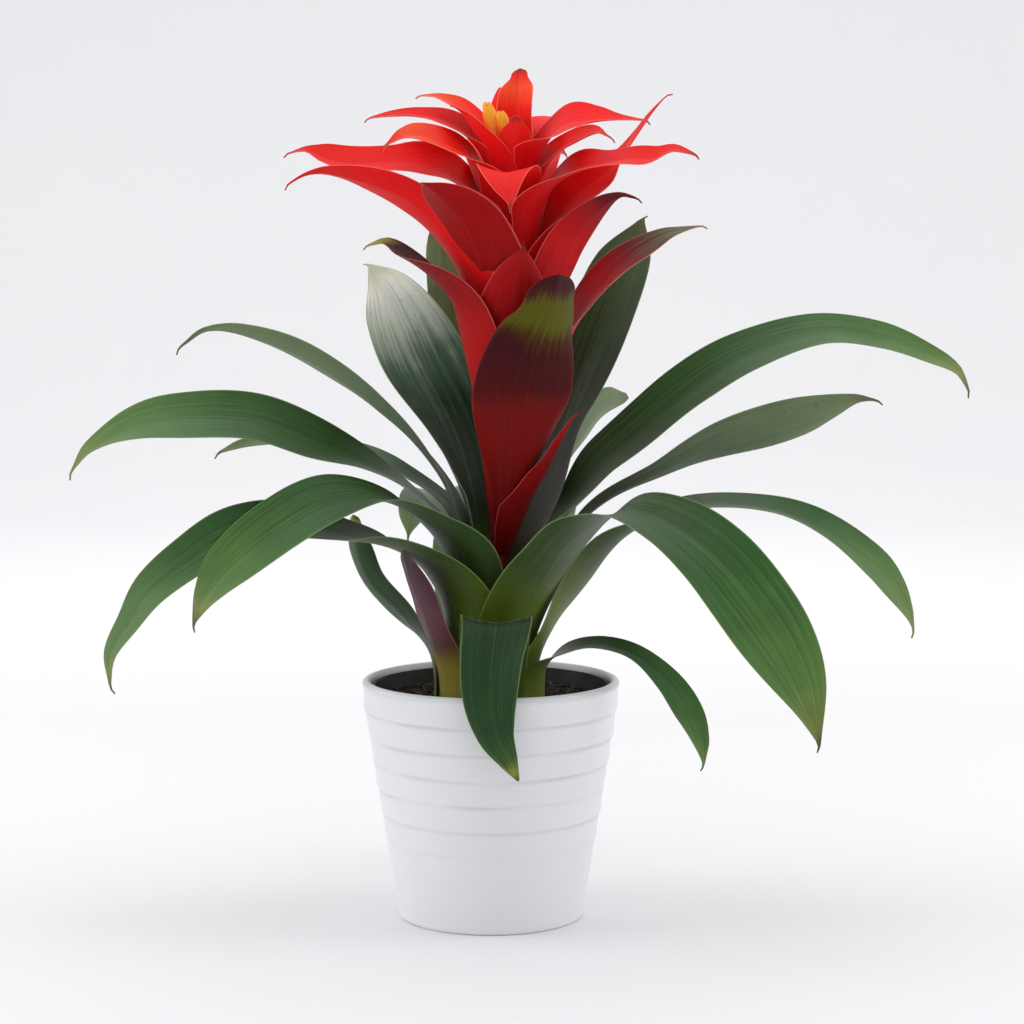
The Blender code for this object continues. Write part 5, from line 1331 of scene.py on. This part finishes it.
class BROMELIAD_OT_inner_parts(bpy.types.Operator):
    """Finish the nursery pot and the stalk, which keep their own shapes."""

    bl_idname = "bromeliad.inner_parts"
    bl_label = "Nursery pot and stalk"

    def execute(self, context):
        for node, finish in (("nursery_pot", plastic_material()), ("stem", stem_material())):
            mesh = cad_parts[node].data
            mesh.materials.clear()
            mesh.materials.append(finish)
        return {"FINISHED"}


class BROMELIAD_OT_soil(bpy.types.Operator):
    """Build the soil with its bark chips and fibres."""

    bl_idname = "bromeliad.soil"
    bl_label = "Soil"

    def execute(self, context):
        settings = context.scene.bromeliad_soil
        mesh = turned("soil_bed", soil_profile(), SOIL_SEGMENTS)
        chance = random.Random(settings.seed)
        for vertex in mesh.vertices:
            x, y, z = vertex.co
            if z > SOIL_LEVEL - FOOT_GAP and math.hypot(x, y) < LUMPY_RADIUS:
                swell = math.sin(x * SOIL_WAVES[0]) * math.cos(y * SOIL_WAVES[1])
                vertex.co.z += chance.uniform(-SOIL_LUMP, SOIL_LUMP) + SOIL_LUMP * swell
        add_piece("soil_bed", mesh, soil_material(settings), "soil")
        scatters = (
            ("bark_chips", chip_tree(), {
                "Chip Length": settings.chip_length, "Density": float(settings.chips), "Seed": settings.seed,
                "Material": chip_material(settings)}),
            ("soil_fibres", fibre_tree(), {
                "Length": settings.chip_length * FIBRE_LENGTH_SHARE,
                "Thickness": settings.chip_length * FIBRE_THICKNESS_SHARE,
                "Density": float(settings.fibres), "Seed": settings.seed + 1,
                "Material": fibre_material(settings)}))
        for name, tree, values in scatters:
            made = bpy.data.objects.new(name, mesh.copy())
            context.scene.collection.objects.link(made)
            run_tree(made, tree, values)
            settled(made, None)
        return {"FINISHED"}


class BROMELIAD_OT_leaves(bpy.types.Operator):
    """Build the green leaves."""

    bl_idname = "bromeliad.leaves"
    bl_label = "Leaves"

    def execute(self, context):
        settings = context.scene.bromeliad_leaves
        routes = []
        for name, layer, heading, points in LEAVES:
            routes.append((name, leaf_rows(layer, heading, points, settings)))
        routes.append(("leaf_front_over_rim", rim_leaf_rows(settings)))
        finishes = {}
        for number, (name, rows) in enumerate(routes):
            mesh = blade_mesh(name, number, rows, settings, LEAF_WRAPS, LEAF_OPENS, 0.0)
            finish = finish_for(name, "leaf_green", finishes)
            add_piece("look_" + name, mesh, finish, name)
        return {"FINISHED"}


class BROMELIAD_OT_bracts(bpy.types.Operator):
    """Build the red bracts."""

    bl_idname = "bromeliad.bracts"
    bl_label = "Bracts"

    def execute(self, context):
        settings = context.scene.bromeliad_bracts
        finishes = {}
        for number, (name, height, heading, points) in enumerate(BRACTS, start=len(LEAVES) + 1):
            rows = bract_rows(height, heading, points, settings)
            mesh = blade_mesh(name, number, rows, settings, BRACT_WRAPS, BRACT_OPENS, 1.0)
            finish = finish_for(name, "bract_bright", finishes)
            add_piece("look_" + name, mesh, finish, name)
        return {"FINISHED"}


class BROMELIAD_OT_flowers(bpy.types.Operator):
    """Build the yellow flower tips."""

    bl_idname = "bromeliad.flowers"
    bl_label = "Flowers"

    def execute(self, context):
        settings = context.scene.bromeliad_flowers
        finish = petal_material(settings)
        for name, foot, tip in FLOWERS:
            mesh = flower_mesh(name, foot, tip, settings.radius)
            add_piece("look_" + name, mesh, finish, name)
        return {"FINISHED"}


def add_lamp(name, place, aim, size, power):
    """A soft square lamp that points at a place."""
    lamp = bpy.data.lights.new(name, "AREA")
    lamp.size = size
    lamp.energy = power
    made = bpy.data.objects.new(name, lamp)
    made.location = place
    made.rotation_euler = (Vector(aim) - Vector(place)).to_track_quat("-Z", "Y").to_euler()
    bpy.context.scene.collection.objects.link(made)


class BROMELIAD_OT_stage(bpy.types.Operator):
    """Set out the floor, the lights and the camera."""

    bl_idname = "bromeliad.stage"
    bl_label = "Stage"

    def execute(self, context):
        settings = context.scene.bromeliad_stage
        mesh = turned("floor", floor_profile(), FLOOR_SEGMENTS)
        mesh.materials.append(floor_material(settings))
        floor = bpy.data.objects.new("floor", mesh)
        context.scene.collection.objects.link(floor)
        world = bpy.data.worlds.new("studio")
        world.use_nodes = True
        sky = world.node_tree.nodes["Background"]
        sky.inputs["Color"].default_value = (1.0, 1.0, 1.0, 1.0)
        sky.inputs["Strength"].default_value = SKY_STRENGTH
        context.scene.world = world
        for side, place, aim, size in LAMPS:
            add_lamp(side + "_lamp", place, aim, size, getattr(settings, side + "_power"))
        context.scene.view_settings.view_transform = "Standard"
        camera = bpy.data.cameras.new("camera")
        camera.lens = settings.lens
        camera.sensor_width = SENSOR_WIDTH
        eye = bpy.data.objects.new("camera", camera)
        eye.location = CAMERA_PLACE
        eye.rotation_euler = (CAMERA_TILT, 0.0, 0.0)
        context.scene.collection.objects.link(eye)
        context.scene.camera = eye
        return {"FINISHED"}


class BROMELIAD_PT_panel(bpy.types.Panel):
    """The bromeliad's settings and the buttons that build it."""

    bl_idname = "BROMELIAD_PT_panel"
    bl_label = "Potted bromeliad"
    bl_space_type = "VIEW_3D"
    bl_region_type = "UI"
    bl_category = "Bromeliad"

    def draw(self, context):
        for group, operators in PANEL_ROWS:
            box = self.layout.box()
            for operator in operators:
                box.operator(operator)
            settings = getattr(context.scene, group)
            for name in settings.__annotations__:
                box.prop(settings, name)


SETTINGS = {
    "bromeliad_pot": PotSettings,
    "bromeliad_soil": SoilSettings,
    "bromeliad_leaves": LeafSettings,
    "bromeliad_bracts": BractSettings,
    "bromeliad_flowers": FlowerSettings,
    "bromeliad_stage": StageSettings,
}
PANEL_ROWS = [
    ("bromeliad_pot", ("bromeliad.pot", "bromeliad.inner_parts")),
    ("bromeliad_soil", ("bromeliad.soil",)),
    ("bromeliad_leaves", ("bromeliad.leaves",)),
    ("bromeliad_bracts", ("bromeliad.bracts",)),
    ("bromeliad_flowers", ("bromeliad.flowers",)),
    ("bromeliad_stage", ("bromeliad.stage",)),
]
OPERATORS = (
    BROMELIAD_OT_pot, BROMELIAD_OT_inner_parts, BROMELIAD_OT_soil, BROMELIAD_OT_leaves,
    BROMELIAD_OT_bracts, BROMELIAD_OT_flowers, BROMELIAD_OT_stage)


def register():
    """Adds the settings, the operators and the panel."""
    for group in SETTINGS.values():
        bpy.utils.register_class(group)
    for name, group in SETTINGS.items():
        setattr(bpy.types.Scene, name, bpy.props.PointerProperty(type=group))
    for operator in OPERATORS:
        bpy.utils.register_class(operator)
    bpy.utils.register_class(BROMELIAD_PT_panel)


def unregister():
    """Takes away what register added."""
    bpy.utils.unregister_class(BROMELIAD_PT_panel)
    for operator in reversed(OPERATORS):
        bpy.utils.unregister_class(operator)
    for name, group in SETTINGS.items():
        delattr(bpy.types.Scene, name)
        bpy.utils.unregister_class(group)


def main():
    """Builds everything."""
    register()
    for operator in OPERATORS:
        group, action = operator.bl_idname.split(".")
        getattr(getattr(bpy.ops, group), action)()


if __name__ == "__main__":
    main()
